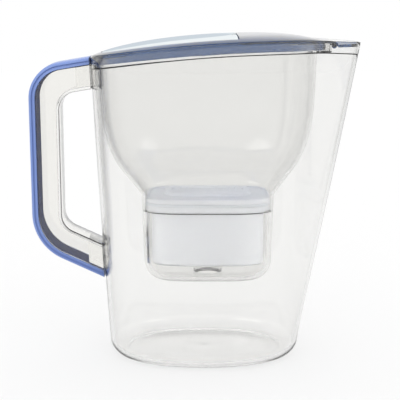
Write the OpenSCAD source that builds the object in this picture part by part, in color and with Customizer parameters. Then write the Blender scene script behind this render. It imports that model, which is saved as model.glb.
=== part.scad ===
// Water filter pitcher: a clear oval jug with a closed handle, a clear funnel
// that hangs in its mouth, an oval filter cartridge in the funnel's well, and
// a blue lid with a flip flap for filling and a small flap over the spout.
//
// Origin: middle of the flat base. +X runs to the spout, +Z up.

/* [Jug] */
// Half of the oval's length at the base
base_half_l = 79; // [72:0.5:86]
// Half of the oval's width at the base
base_half_w = 58; // [54:0.5:62]
// Half of the oval's length at the rim
top_half_l = 93; // [90:0.5:100]
// Half of the oval's width at the rim
top_half_w = 70.5; // [67:0.5:78]
// Height of the rim at its highest point
rim_top_z = 263.9; // [255:0.1:290]
// Place of the rim's highest point along the jug
rim_crest_x = 59; // [45:1:70]
// Radius of the arched rim, seen from the side
rim_arc_r = 820; // [700:10:1200]
// Squareness of the oval: 2 is an ellipse
oval_power = 2.3; // [2:0.1:2.8]
// How far the sides bow out between base and rim
side_bow = 1; // [0:0.5:3]
// Radius of the outer edge between base and side
base_fillet = 12; // [8:0.5:16]
// Thickness of the jug's side
jug_wall = 3; // [2.6:0.1:4]
// Thickness of the jug's rim above the funnel's ledge
rim_wall = 1.6; // [1.2:0.1:2]
// Thickness of the jug's floor
jug_floor = 3.6; // [3:0.1:6]
// Depth of the funnel's ledge below the rim
ledge_drop = 9.5; // [8:0.5:12]

/* [Spout] */
// Height at which the spout starts to stand out from the oval
spout_start_z = 13; // [5:1:40]
// How far the spout's edge stands out for each millimetre of height
spout_lean = 0.1385; // [0.1:0.0005:0.16]
// Half of the angle over which the spout spreads
spout_spread = 11.5; // [10:0.5:14]

/* [Handle] */
// Distance of the grip's outer face from the jug's middle
handle_reach = 142.8; // [132:0.2:155]
// How far the grip's top lies under the rim where it meets the jug
handle_drop = 0; // [0:0.1:6]
// Height of the grip's lower edge where it meets the jug
handle_low_z = 66; // [50:0.5:80]
// Slope of the handle's upper arm
upper_slope = 9.5; // [6:0.5:16]
// Slope of the handle's lower arm
lower_slope = 25; // [15:0.5:28]
// Radius of the handle's upper corner
upper_corner_r = 30; // [24:1:34]
// Radius of the handle's lower corner
lower_corner_r = 42; // [34:1:46]
// Width of the blue grip strip
grip_w = 30; // [26:0.5:34]
// Thickness of the grip strip
grip_t = 5.8; // [4:0.1:6]
// Width of the clear handle frame
frame_w = 27; // [24:0.5:30]
// Depth of the frame behind the grip along the upright
frame_depth = 19.2; // [16:0.2:22]
// Depth of the frame in its upper arm
upper_depth = 20; // [17:0.2:24]
// Depth of the frame in its lower arm, next to the jug
lower_depth = 19.8; // [17:0.2:24]
// Wall thickness of the frame's channel
frame_wall = 2.5; // [2:0.1:3.5]
// Radius of the finger gap's corners
finger_corner_r = 15; // [10:0.5:18]
// How far the jug's two lugs reach into the frame
lug_reach = 12; // [8:0.5:18]

/* [Funnel] */
// Wall thickness of the funnel
funnel_wall = 2; // [1.6:0.1:2.5]
// Thickness of the ledge under the funnel's rim band
ledge_t = 1.5; // [1.2:0.1:2]
// Place of the funnel's flat nose along the jug
nose_x = 101; // [98:0.5:104]
// Distance of the filling chamber's front behind the nose
chamber_setback = 11.5; // [10:0.5:18]
// Gap between the filling chamber and the jug at the handle's end
chamber_back_gap = 1.9; // [1.5:0.1:5]
// Gap between the filling chamber and the jug at its sides
chamber_side_gap = 4.2; // [3.2:0.1:8]
// Half of the well's length at its mouth
well_half_l = 54.6; // [52:0.2:56]
// Half of the well's width at its mouth
well_half_w = 36; // [34:0.2:38]
// Height of the well's mouth
well_top_z = 138; // [132:0.5:144]
// Height of the well's underside above the table
well_floor_z = 65; // [56:0.5:70]
// Radius of the well's lower edge
well_fillet = 17; // [12:0.5:20]
// How much the well's half length and half width shrink towards its floor
well_taper = 2.2; // [1:0.1:3]
// Place of the well's middle along the jug
well_x = 3; // [0:0.5:6]
// Half of the outlet's length
outlet_half_l = 10; // [8:0.5:14]
// Half of the outlet's width
outlet_half_w = 9; // [7:0.5:11]
// Height of the collar round the outlet
outlet_collar_h = 4; // [2:0.5:6]

/* [Cartridge] */
// Squareness of the cartridge and of the well that holds it: 2 is an ellipse
cartridge_power = 4; // [2.3:0.1:5]
// Half of the cap's length
cap_half_l = 51.6; // [50:0.1:52]
// Half of the cap's width
cap_half_w = 33; // [32:0.1:33.4]
// Height of the cap's band
cap_band_h = 11.5; // [9:0.5:14]
// Height of the cap's lower edge above the table
cap_low_z = 126; // [120:0.5:129]
// How far the cup stands back from the cap's band
cup_setback = 4.6; // [3:0.1:6]
// Height of the cup's underside above the table
cup_low_z = 80; // [77:0.5:85]
// Wall thickness of the cup and the cap
cup_wall = 1.8; // [1.4:0.1:2.4]
// Thickness of the two screens
screen_t = 0.8; // [0.5:0.1:1.5]
// Depth of the resin bed
resin_depth = 21; // [10:0.5:26]
// Thickness of the seal ring
seal_t = 2.4; // [1.6:0.1:3]
// Height of the cap's raised middle above its rim
cap_crown_h = 2.5; // [2:0.5:8]

/* [Lid] */
// Thickness of the lid's top
lid_t = 2; // [1.6:0.1:2.4]
// Clearance between the lid's skirt and the funnel's ledge
skirt_clear = 0.3; // [0.3:0.1:2]
// Thickness of the lid's skirt
skirt_t = 1.8; // [1.4:0.1:2.4]
// Distance of the skirt's front from the funnel's nose
skirt_setback = 5.7; // [4:0.1:8]
// Height of the lid's dome over the middle of the jug
dome_h = 4.4; // [3:0.1:6]
// Width of the lid's top between its skirt and the flip flap, at the handle's end
flap_back_rim = 3.8; // [3:0.1:12]
// Width of the lid's top between its skirt and the flip flap, at the sides
flap_side_rim = 6.3; // [4:0.1:14]
// How far the flip flap's oval would run past its hinge if it weren't cut off there
flap_round = 60; // [50:1:65]
// Place of the flip flap's hinge along the jug
flap_hinge_x = 24; // [19:0.5:24]
// Half of the flip flap's hinge barrel length
flap_barrel_l = 12; // [8:0.5:13]
// Radius of the flip flap's hinge barrel
flap_barrel_r = 2.1; // [1.9:0.1:2.4]
// Radius of the flip flap's pins
flap_pin_r = 1.2; // [0.8:0.1:1.4]

/* [Spout flap] */
// Thickness of the spout flap
spout_flap_t = 2.2; // [1.6:0.1:2.6]
// Depth of the spout flap's top under the rim
spout_flap_drop = 3.1; // [2.6:0.1:4]
// Radius of the spout flap's hinge barrel
spout_barrel_r = 2; // [1.8:0.1:2.2]
// Half of the spout flap's hinge barrel length
spout_barrel_l = 9; // [6:0.5:10]
// Radius of the spout flap's pins
spout_pin_r = 1.1; // [0.8:0.1:1.3]

/* [Fits] */
// Clearance between pieces that lift apart
lift_gap = 0.4; // [0.3:0.05:0.6]
// Clearance between pieces that are snapped together for good
snap_gap = 0.1; // [0.05:0.01:0.2]
// Radial clearance of a hinge pin in its bore
pin_gap = 0.06; // [0.03:0.01:0.1]

/* [Hidden] */
$fn = 48;

// Number of points round each lofted outline
around = 60;
// Each outline's points lie closer together towards the spout
near_spout = 0.35;
near_sides = 0.2;
degrees = 180 / PI;
// Clearance under a piece that rests on another, or stands against it
rest_gap = 0.3;
// How far a cutting shape runs past the solid that it cuts
cut_past = 1;
// How deep shapes of one piece run into each other
overlap = 1;
// Half step in degrees for the direction of an outline
turn_step = 0.5;
turns = [for (i = [0 : around - 1])
    let (u = 360 * i / around - 180)
    u - degrees * (near_spout * sin(u) + near_sides * sin(2 * u))];
even_turns = [for (i = [0 : around - 1]) 360 * i / around - 180];

// Outlines

function oval_r(turn, a, b, power) =
    pow(pow(abs(cos(turn)) / a, power) + pow(abs(sin(turn)) / b, power), -1 / power);
function oval(turn, mid_x, a, b, power = oval_power) =
    [mid_x + oval_r(turn, a, b, power) * cos(turn), oval_r(turn, a, b, power) * sin(turn)];
function unit(v) = v / norm(v);
function mix(from, to, share) = from + (to - from) * share;

function half_l(z) =
    let (t = z / rim_top_z) mix(base_half_l, top_half_l, t) + 4 * side_bow * t * (1 - t);
function half_w(z) =
    let (t = z / rim_top_z) mix(base_half_w, top_half_w, t) + 4 * side_bow * t * (1 - t);
function spout_out(z) = spout_lean * max(0, z - spout_start_z);
function jug_r(turn, z) =
    oval_r(turn, half_l(z), half_w(z), oval_power)
    + spout_out(z) * exp(-pow(turn / spout_spread, 2));
function jug_point(turn, z) = jug_r(turn, z) * [cos(turn), sin(turn)];
// Point of the jug's outline at a height, moved inwards at right angles to the outline
function jug_inset(turn, z, inset) =
    let (along = unit(jug_point(turn + turn_step, z) - jug_point(turn - turn_step, z)))
    jug_point(turn, z) - inset * [along.y, -along.x];
// Height of the arched rim over a place along the jug
function rim_z(x) = rim_top_z - pow(x - rim_crest_x, 2) / (2 * rim_arc_r);
function rim_at(turn) = rim_z(jug_point(turn, rim_top_z).x);

// Outline inside the jug's wall at a depth below the rim, cut off straight at the nose
function mouth(turn, drop, inset, front_x) =
    let (p = jug_inset(turn, rim_at(turn) - drop, inset)) [min(p.x, front_x), p.y];

// Lofted solids

function lift(p, z) = [p.x, p.y, z];
function ring_faces(count) = [
    for (k = [0 : count - 2]) for (i = [0 : around - 1])
        let (a = k * around + i, b = k * around + (i + 1) % around, c = a + around, d = b + around)
        each [[a, c, b], [b, c, d]]];

// A loft through rings of points, closed by flat ends
module loft(rings) {
    count = len(rings);
    last = (count - 1) * around;
    polyhedron(
        points = [for (ring = rings) each ring],
        faces = concat(
            ring_faces(count),
            [[for (i = [0 : around - 1]) i]],
            [[for (i = [around - 1 : -1 : 0]) last + i]]),
        convexity = 6);
}

// A loft whose last ring joins its first, like a tube bent into a ring
module ring_loft(rings) {
    count = len(rings);
    last = (count - 1) * around;
    polyhedron(
        points = [for (ring = rings) each ring],
        faces = concat(
            ring_faces(count),
            [for (i = [0 : around - 1])
                let (a = last + i, b = last + (i + 1) % around, c = i, d = (i + 1) % around)
                each [[a, c, b], [b, c, d]]]),
        convexity = 6);
}

// Handle: the arms follow three straight lines, moved inwards by a depth, with round corners

handle_top_z = rim_z(-half_l(rim_top_z)) - handle_drop;
arc_steps = [for (k = [0 : 8]) k / 8];
function wall_face(z) = -half_l(z) - rest_gap;
function upper_z(x, depth) =
    handle_top_z - depth / cos(upper_slope) + tan(upper_slope) * (x + half_l(handle_top_z));
function lower_z(x, depth) =
    handle_low_z + depth / cos(lower_slope) - tan(lower_slope) * (x + half_l(handle_low_z));
function upper_centre(depth, upright, r) =
    let (x = upright - handle_reach)
    [x + r, upper_z(x, depth) - r * tan((90 - upper_slope) / 2)];
function lower_centre(depth, upright, r) =
    let (x = upright - handle_reach)
    [x + r, lower_z(x, depth) + r * tan((90 - lower_slope) / 2)];
function arc(centre, r, from, to) =
    [for (s = arc_steps) let (turn = mix(from, to, s)) centre + r * [cos(turn), sin(turn)]];
// Side view of one edge of the handle, from the upper end to the lower end
function arm_edge(upper, upright, lower, upper_r, lower_r, past_wall = 0) =
    let (top_x = wall_face(handle_top_z - upper) + past_wall,
         low_x = wall_face(handle_low_z + lower) + past_wall)
    concat(
        [[top_x, upper_z(top_x, upper)]],
        arc(upper_centre(upper, upright, upper_r), upper_r, 90 + upper_slope, 180),
        arc(lower_centre(lower, upright, lower_r), lower_r, 180, 270 - lower_slope),
        [[low_x, lower_z(low_x, lower)]]);
function grip_edge(depth, past_wall = 0) =
    arm_edge(depth, depth, depth, upper_corner_r - depth, lower_corner_r - depth, past_wall);
function finger_edge(wall, past_wall = 0) =
    arm_edge(
        grip_t + upper_depth - wall, grip_t + frame_depth - wall, grip_t + lower_depth - wall,
        finger_corner_r + wall, finger_corner_r + wall, past_wall);
function reversed(list) = [for (k = [len(list) - 1 : -1 : 0]) list[k]];

// A side view, made as thick as the handle is wide
module side_plate(points, width) {
    translate([0, width / 2, 0]) rotate([90, 0, 0])
        linear_extrude(height = width) polygon(points);
}

// Depth of the grip's rib, which sits in the frame's channel
rib_depth = 3;
channel_w = frame_w - 2 * frame_wall;
rib_w = channel_w - 2 * lift_gap;
// Radius of the grip's long edges
grip_edge_r = 2.2;
// How far an arm is drawn past the jug's side before it is cut off there
cut_over = 10;
// How far the grip's straight stretches run into its bends
join = 0.05;
// How much slimmer the straight stretches are than the bends, on each side
join_trim = 0.02;
// Straight stretches that follow the jug's bowed side; none may end at an arm
face_steps = 5;

// Across the grip: a crowned strip with a rib that sits in the frame's channel
function grip_section(trim = 0) =
    let (half = grip_w / 2 - trim, rib = rib_w / 2 - trim, r = grip_edge_r,
         under = grip_t - trim, deep = grip_t + rib_depth - trim)
    concat(
        [[trim, -half + r + r]],
        [for (k = [0 : 4]) let (turn = 90 * k / 4)
            [trim + r * (1 - cos(turn)), -half + r * (1 - sin(turn))]],
        [[under, -half], [under, -rib], [deep, -rib], [deep, rib], [under, rib], [under, half]],
        [for (k = [4 : -1 : 0]) let (turn = 90 * k / 4)
            [trim + r * (1 - cos(turn)), half - r * (1 - sin(turn))]],
        [[trim, half - r - r]]);
// A straight stretch of the grip, a hair slimmer than the bends, so that its ends lie within them
module grip_bar(start, normal_turn, length) {
    translate([start.x, start.y, 0]) rotate([0, 0, normal_turn]) rotate([90, 0, 0])
        translate([0, 0, -join]) linear_extrude(height = length + 2 * join)
            polygon([for (p = grip_section(join_trim)) [-p.x, p.y]]);
}
module grip_bend(centre, r, from, to) {
    translate([centre.x, centre.y, 0])
        rotate_extrude(angle = to - from, start = from)
            polygon([for (p = grip_section()) [r - p.x, p.y]]);
}
module grip_run() {
    upper = upper_centre(0, 0, upper_corner_r);
    lower = lower_centre(0, 0, lower_corner_r);
    upper_turn = 90 + upper_slope;
    lower_turn = 270 - lower_slope;
    upper_end = upper + upper_corner_r * [cos(upper_turn), sin(upper_turn)];
    lower_end = lower + lower_corner_r * [cos(lower_turn), sin(lower_turn)];
    upper_run = (-half_l(handle_top_z) - upper_end.x + cut_over) / cos(upper_slope);
    lower_run = (-half_l(handle_low_z) - lower_end.x + cut_over) / cos(lower_slope);
    lower_start = lower_end + lower_run * [cos(lower_slope), -sin(lower_slope)];
    grip_bar(upper_end, upper_turn, upper_run);
    grip_bend(upper, upper_corner_r, upper_turn, 180);
    grip_bar([lower.x - lower_corner_r, lower.y], 180, upper.y - lower.y);
    grip_bend(lower, lower_corner_r, 180, lower_turn);
    grip_bar(lower_start, lower_turn, lower_run);
}

module handle_grip() {
    color([0.48, 0.58, 0.86])
    intersection() {
        rotate([90, 0, 0]) grip_run();
        side_plate(
            concat(
                [[-2 * handle_reach, 0]],
                [for (k = [0 : face_steps])
                    let (z = rim_top_z * k / face_steps)
                    [wall_face(z), z]],
                [[-2 * handle_reach, rim_top_z]]),
            2 * grip_w);
    }
}

module handle_frame() {
    color([0.92, 0.93, 0.94, 0.5])
    difference() {
        side_plate(concat(grip_edge(grip_t + snap_gap), reversed(finger_edge(0))), frame_w);
        side_plate(
            concat(grip_edge(grip_t - cut_past, cut_over), reversed(finger_edge(frame_wall, cut_over))),
            channel_w);
    }
}

// The jug's lugs fill the ends of the frame's channel
module handle_lugs() {
    inner = frame_wall + lift_gap;
    outer = grip_t + rib_depth + lift_gap;
    root = rest_gap + jug_wall / 2;
    lug_edge = concat(grip_edge(outer, cut_over), reversed(finger_edge(inner, cut_over)));
    middle_z = (handle_top_z + handle_low_z) / 2;
    for (side = [[middle_z, rim_top_z], [0, middle_z]])
        intersection() {
            side_plate(lug_edge, rib_w);
            side_plate(
                [for (p = [[-lug_reach, side[0]], [root, side[0]],
                           [root, side[1]], [-lug_reach, side[1]]])
                    [wall_face(p.y) + p.x, p.y]],
                rib_w + cut_past);
        }
}

// Jug

fillet_steps = [0, 22.5, 45, 67.5];
wall_steps = [for (k = [0 : 8]) k / 8];
rim_edge = 0.5;
inner_fillet = base_fillet - jug_wall;

module jug_shell() {
    loft(concat(
        [for (f = fillet_steps)
            let (z = base_fillet * (1 - cos(f)))
            [for (t = turns) lift(jug_inset(t, z, base_fillet * (1 - sin(f))), z)]],
        [for (s = wall_steps)
            [for (t = turns)
                let (z = mix(base_fillet, rim_at(t) - rim_edge, s))
                lift(jug_point(t, z), z)]],
        [for (inset = [rim_edge, rim_wall - rim_edge])
            [for (t = turns) lift(jug_inset(t, rim_at(t), inset), rim_at(t))]],
        [for (edge = [[rim_wall, rim_edge], [rim_wall, ledge_drop]])
            [for (t = turns)
                let (z = rim_at(t) - edge[1])
                lift(jug_inset(t, z, edge[0]), z)]],
        [for (s = wall_steps)
            [for (t = turns)
                let (z = mix(rim_at(t) - ledge_drop, jug_floor + inner_fillet, s))
                lift(jug_inset(t, z, jug_wall), z)]],
        [for (f = reversed(fillet_steps))
            let (z = jug_floor + inner_fillet * (1 - cos(f)))
            [for (t = turns) lift(jug_inset(t, z, jug_wall + inner_fillet * (1 - sin(f))), z)]]
    ));
}

module jug() {
    color([0.93, 0.94, 0.95, 0.4]) {
        jug_shell();
        handle_lugs();
    }
}

// Funnel

// Width of the ledge in the well that carries the cartridge's cap, and height of its slope
seat_step = 1.6;
seat_slope = 1;
// Depth below the rim at which the chamber's shoulder ends
shoulder_drop = 37.9;
chamber_ref_z = rim_top_z - shoulder_drop;
chamber_back_x = -half_l(chamber_ref_z) + jug_wall + chamber_back_gap;
chamber_front_x = nose_x - chamber_setback;
chamber_x = (chamber_front_x + chamber_back_x) / 2;
chamber_half_l = (chamber_front_x - chamber_back_x) / 2;
chamber_half_w = half_w(chamber_ref_z) - jug_wall - chamber_side_gap;
band_low = ledge_drop - rest_gap;
band_top = lid_t + rest_gap;
well_floor_l = well_half_l - well_taper;
well_floor_w = well_half_w - well_taper;
seat_z = cap_low_z - rest_gap;
// Height and spread of the shoulder between the well and the chamber, both as shares
shoulder = [[0.03, 0.05], [0.1, 0.18], [0.19, 0.37], [0.29, 0.57], [0.41, 0.73],
            [0.56, 0.85], [0.74, 0.93], [1, 0.98]];

// Each row is height, middle along X, half length, half width and squareness
function well_at(z) =
    let (s = (z - well_floor_z) / (well_top_z - well_floor_z))
    [z, well_x, mix(well_floor_l, well_half_l, s), mix(well_floor_w, well_half_w, s),
     cartridge_power];
function funnel_rows(turn) = concat(
    [for (f = fillet_steps)
        let (r = well_fillet, in = r * (1 - sin(f)), row = well_at(well_floor_z + r * (1 - cos(f))))
        [row[0], row[1], row[2] - in, row[3] - in, row[4]]],
    [for (z = [well_floor_z + well_fillet, seat_z - seat_slope, seat_z, well_top_z]) well_at(z)],
    [for (s = shoulder)
        [mix(well_top_z, chamber_ref_z, s[0]), mix(well_x, chamber_x, s[1]),
         mix(well_half_l, chamber_half_l, s[1]), mix(well_half_w, chamber_half_w, s[1]),
         mix(cartridge_power, oval_power, s[1])]],
    [[rim_at(turn) - band_low, chamber_x, chamber_half_l, chamber_half_w, oval_power]]);
function row_inset(rows, k, inset) =
    let (before = rows[max(0, k - 1)], after = rows[min(len(rows) - 1, k + 1)], row = rows[k],
         along = unit([after[0] - before[0], after[2] - before[2]]))
    [row[0] + inset * along.y, row[1], row[2] - inset * along.x, row[3] - inset * along.x, row[4]];
function row_point(turn, row) = lift(oval(turn, row[1], row[2], row[3], row[4]), row[0]);
row_count = len(funnel_rows(0));
seat_row = len(fillet_steps) + 2;

module funnel() {
    outlet = [for (t = turns) oval(t, well_x, outlet_half_l, outlet_half_w, 2)];
    collar = [for (t = turns)
        oval(t, well_x, outlet_half_l + funnel_wall, outlet_half_w + funnel_wall, 2)];
    floor_z = well_floor_z + funnel_wall + seat_step;
    color([0.93, 0.94, 0.95, 0.4])
    ring_loft(concat(
        [[for (p = outlet) lift(p, well_floor_z)]],
        [for (k = [0 : row_count - 1])
            [for (t = turns) row_point(t, funnel_rows(t)[k])]],
        [for (drop = [band_low, band_top])
            [for (t = turns)
                lift(mouth(t, drop, rim_wall + lift_gap, nose_x), rim_at(t) - drop)]],
        [for (drop = [band_top, band_low - ledge_t])
            [for (t = turns)
                lift(mouth(t, drop, rim_wall + lift_gap + funnel_wall, nose_x - funnel_wall),
                     rim_at(t) - drop)]],
        [for (k = [row_count - 1 : -1 : seat_row])
            [for (t = turns)
                let (row = row_inset(funnel_rows(t), k, funnel_wall),
                     rise = k == row_count - 1 ? ledge_t : 0)
                row_point(t, [row[0] + rise, row[1], row[2], row[3], row[4]])]],
        [for (k = [seat_row : -1 : 0])
            [for (t = turns)
                row_point(t, row_inset(funnel_rows(t), k, funnel_wall + seat_step))]],
        [[for (p = collar) lift(p, floor_z)]],
        [[for (p = collar) lift(p, floor_z + outlet_collar_h)]],
        [[for (p = outlet) lift(p, floor_z + outlet_collar_h)]]
    ));
}

// Cartridge

module oval_plate(a, b, low, high) {
    translate([well_x, 0, low]) linear_extrude(height = high - low)
        polygon([for (t = even_turns) oval(t, 0, a, b, cartridge_power)]);
}
module oval_tube(a, b, wall, low, high) {
    difference() {
        oval_plate(a, b, low, high);
        oval_plate(a - wall, b - wall, low - cut_past, high + cut_past);
    }
}

cap_top_z = cap_low_z + cap_band_h;
// Height of the carbon bed's top above the band's lower edge
bed_over_band = 2;
cup_half_l = cap_half_l - cup_setback;
cup_half_w = cap_half_w - cup_setback;
bed_half_l = cup_half_l - cup_wall - snap_gap;
bed_half_w = cup_half_w - cup_wall - snap_gap;
cup_top_z = cap_top_z - cup_wall - snap_gap;
outlet_screen_z = cup_low_z + cup_wall + snap_gap;
resin_z = outlet_screen_z + screen_t + snap_gap;
carbon_z = resin_z + resin_depth + snap_gap;
bed_top_z = cap_low_z + bed_over_band;
inlet_screen_z = bed_top_z + snap_gap;
// Half sizes of the cap's raised middle
crown_half_l = 36;
crown_half_w = 20;
// Depth of the seal's groove, and how far the seal stands out of the band
groove_depth = 1.2;
seal_stand = 0.35;
seal_z = cap_low_z + cap_band_h / 2;
// Water slots in the cap and in the cup's floor
slot_w = 2;
slot_l = 22;
slot_pitch = 5;
inlet_slots = [-5 : 5];
outlet_slots = [-6 : 6];

module slot_row(places, low, high) {
    for (k = places)
        translate([well_x + k * slot_pitch - slot_w / 2, -slot_l / 2, low])
            cube([slot_w, slot_l, high - low]);
}

module cartridge_cup() {
    color([0.9, 0.9, 0.92])
    difference() {
        oval_plate(cup_half_l, cup_half_w, cup_low_z, cup_top_z);
        oval_plate(cup_half_l - cup_wall, cup_half_w - cup_wall,
                   cup_low_z + cup_wall, cup_top_z + cut_past);
        slot_row(outlet_slots, cup_low_z - cut_past, cup_low_z + cup_wall + cut_past);
    }
}

module cartridge_cap() {
    crown_top = cap_top_z + cap_crown_h;
    vent_x = -8;
    vent_r = 0.7;
    vent_h = 0.6;
    color([0.93, 0.93, 0.95])
    difference() {
        union() {
            oval_tube(cap_half_l, cap_half_w, cup_wall, cap_low_z, cap_top_z);
            oval_tube(cap_half_l - overlap, cap_half_w - overlap,
                      cup_setback - overlap - snap_gap, cap_low_z, cap_low_z + cup_wall);
            oval_plate(cap_half_l - overlap, cap_half_w - overlap, cap_top_z - cup_wall, cap_top_z);
            oval_plate(crown_half_l, crown_half_w, cap_top_z - overlap, crown_top);
        }
        oval_plate(crown_half_l - cup_wall, crown_half_w - cup_wall,
                   cap_top_z - cup_wall - cut_past, crown_top - cup_wall);
        slot_row(inlet_slots, crown_top - cup_wall - cut_past, crown_top + cut_past);
        oval_tube(cap_half_l + cut_past, cap_half_w + cut_past, cut_past + groove_depth,
                  seal_z - seal_t / 2 - snap_gap, seal_z + seal_t / 2 + snap_gap);
        translate([vent_x, -cap_half_w - cut_past, cap_low_z + cap_band_h / 4]) rotate([-90, 0, 0])
            cylinder(h = cut_past + vent_h, r = vent_r, $fn = 24);
    }
}

module cartridge_seal() {
    color([0.82, 0.84, 0.87])
    oval_tube(cap_half_l + seal_stand, cap_half_w + seal_stand,
              seal_stand + groove_depth - snap_gap, seal_z - seal_t / 2, seal_z + seal_t / 2);
}

module inlet_screen() {
    color("white") oval_plate(bed_half_l, bed_half_w, inlet_screen_z, inlet_screen_z + screen_t);
}

module outlet_screen() {
    color("white")
    oval_plate(bed_half_l, bed_half_w, outlet_screen_z, outlet_screen_z + screen_t);
}

module carbon_granules() {
    color([0.15, 0.15, 0.16]) oval_plate(bed_half_l, bed_half_w, carbon_z, bed_top_z);
}

module resin_beads() {
    color([0.78, 0.62, 0.35]) oval_plate(bed_half_l, bed_half_w, resin_z, resin_z + resin_depth);
}

// Lid

dome_power = 5;
plate_inset = rim_wall + lift_gap;
skirt_drop = band_low - ledge_t - skirt_clear;
// How far the lid's top reaches past the funnel's nose
plate_over_nose = 1.3;
plate_nose_x = nose_x + plate_over_nose;
skirt_inset = plate_inset + funnel_wall + lift_gap;
skirt_nose_x = nose_x - skirt_setback;
// Gap round the flip flap
opening_gap = 0.5;
// How far the flap's sheet stands back from the front of its barrel
barrel_lap = 0.3;
flap_back_x = -half_l(rim_top_z) + skirt_inset + skirt_t + flap_back_rim;
flap_mid_x = (flap_hinge_x + flap_round + flap_back_x) / 2;
flap_half_l = (flap_hinge_x + flap_round - flap_back_x) / 2;
flap_half_w = half_w(rim_top_z) - skirt_inset - skirt_t - flap_side_rim;
flap_front_x = flap_hinge_x + flap_barrel_r - barrel_lap;
opening_front_x = flap_hinge_x + flap_barrel_r + opening_gap;
// Hinge lugs: width, gap beside the barrel, and wall beyond the barrel's radius
lug_w = 3.2;
lug_gap = 0.4;
lug_stand = 0.3;
// How far a pin's end stands back from its lug's outer face
pin_setback = 0.2;
// Depth of the flip flap's hinge axis under the lid's top
flap_axis_drop = 1.2;

function dome(x, y) =
    let (a = half_l(rim_top_z), b = half_w(rim_top_z),
         out = pow(pow(abs(x) / a, oval_power) + pow(abs(y) / b, oval_power), dome_power / oval_power))
    dome_h * (1 - min(1, out));
function lid_z(p) = rim_z(p.x) + dome(p.x, p.y);
function flap_outline(turn, gap, front_x) =
    let (p = oval(turn, flap_mid_x, flap_half_l + gap, flap_half_w + gap))
    [min(p.x, front_x), p.y];
flap_axis_z = lid_z([flap_hinge_x, 0]) - flap_axis_drop;

// Points of a sheet that follows the lid's top, from its inner to its outer outline
function sheet_ring(inner, outer, share, drop) =
    [for (i = [0 : around - 1]) let (p = mix(inner[i], outer[i], share)) lift(p, lid_z(p) - drop)];
function mouth_ring(drop, inset, front_x) = [for (t = turns) mouth(t, drop, inset, front_x)];
lid_shares = [0, 0.2, 0.4, 0.6, 0.8, 1];

module lid_sheet() {
    opening = [for (t = even_turns) flap_outline(t, opening_gap, opening_front_x)];
    edge = mouth_ring(0, plate_inset, plate_nose_x);
    edge_low = mouth_ring(lid_t, plate_inset, plate_nose_x);
    skirt_out = mouth_ring(lid_t, skirt_inset, skirt_nose_x);
    skirt_out_low = mouth_ring(skirt_drop, skirt_inset, skirt_nose_x);
    skirt_in = mouth_ring(lid_t, skirt_inset + skirt_t, skirt_nose_x - skirt_t);
    skirt_in_low = mouth_ring(skirt_drop, skirt_inset + skirt_t, skirt_nose_x - skirt_t);
    ring_loft(concat(
        [[for (p = skirt_in_low) lift(p, rim_z(p.x) - skirt_drop)]],
        [[for (p = skirt_out_low) lift(p, rim_z(p.x) - skirt_drop)]],
        [sheet_ring(skirt_out, skirt_out, 1, lid_t)],
        [sheet_ring(edge_low, edge_low, 1, lid_t)],
        [for (s = reversed(lid_shares)) sheet_ring(opening, edge, s, 0)],
        [for (s = lid_shares) sheet_ring(opening, skirt_in, s, lid_t)]
    ));
}

module pin_y(x, z, r, from, to) {
    translate([x, to, z]) rotate([90, 0, 0]) cylinder(h = to - from, r = r);
}
module both_sides() {
    children();
    mirror([0, 1, 0]) children();
}

// Distance of the spout flap's hinge axis in front of the lid's top
spout_axis_over = 1.5;
spout_flap_z = rim_z(nose_x) - spout_flap_drop;
lid_lug_y = flap_barrel_l + lug_gap;
spout_axis_x = plate_nose_x + spout_axis_over;
spout_axis_z = spout_flap_z - spout_flap_t / 2;
spout_lug_y = spout_barrel_l + lug_gap;
spout_lug_r = spout_barrel_r + lug_stand;

module flap_lug() {
    back_x = flap_hinge_x - flap_barrel_r - lug_stand;
    low_z = flap_axis_z - flap_barrel_r - lug_stand;
    high_z = flap_axis_z + flap_axis_drop - lug_stand;
    translate([back_x, lid_lug_y, low_z])
        cube([opening_front_x + 2 * overlap - back_x, lug_w, high_z - low_z]);
}
// The lug's web stands back from the axis, so the flap can swing up
module spout_lug() {
    web_back = 0.5;
    pin_y(spout_axis_x, spout_axis_z, spout_lug_r, spout_lug_y, spout_lug_y + lug_w);
    translate([spout_axis_x - spout_lug_r, spout_lug_y, spout_axis_z - web_back])
        cube([spout_lug_r - web_back, lug_w, rim_z(nose_x) - lid_t / 2 - spout_axis_z]);
}

module lid_shell() {
    bore_past = 0.1;
    color([0.55, 0.66, 0.85, 0.6])
    difference() {
        union() {
            lid_sheet();
            both_sides() {
                flap_lug();
                spout_lug();
            }
        }
        for (y = [lid_lug_y, -lid_lug_y - lug_w])
            pin_y(flap_hinge_x, flap_axis_z, flap_pin_r + pin_gap, y - bore_past, y + lug_w + bore_past);
        for (y = [spout_lug_y, -spout_lug_y - lug_w])
            pin_y(spout_axis_x, spout_axis_z, spout_pin_r + pin_gap,
                  y - bore_past, y + lug_w + bore_past);
    }
}

hub_share = 0.1;
flap_shares = [0.3, 0.6, 0.85, 1];

module flap_sheet() {
    outline = [for (t = even_turns) flap_outline(t, 0, flap_front_x)];
    middle = [for (t = even_turns) [flap_mid_x, 0]];
    slope = lid_z([flap_mid_x + 1, 0]) - lid_z([flap_mid_x, 0]);
    // The loft's flat ends: a small outline on the plane that touches the dome there
    hub = [for (p = outline)
        let (q = mix([flap_mid_x, 0], p, hub_share))
        lift(q, lid_z([flap_mid_x, 0]) + slope * (q.x - flap_mid_x))];
    loft(concat(
        [[for (p = hub) p - [0, 0, lid_t]]],
        [for (s = flap_shares) sheet_ring(middle, outline, s, lid_t)],
        [for (s = reversed(flap_shares)) sheet_ring(middle, outline, s, 0)],
        [hub]
    ));
}

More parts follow.
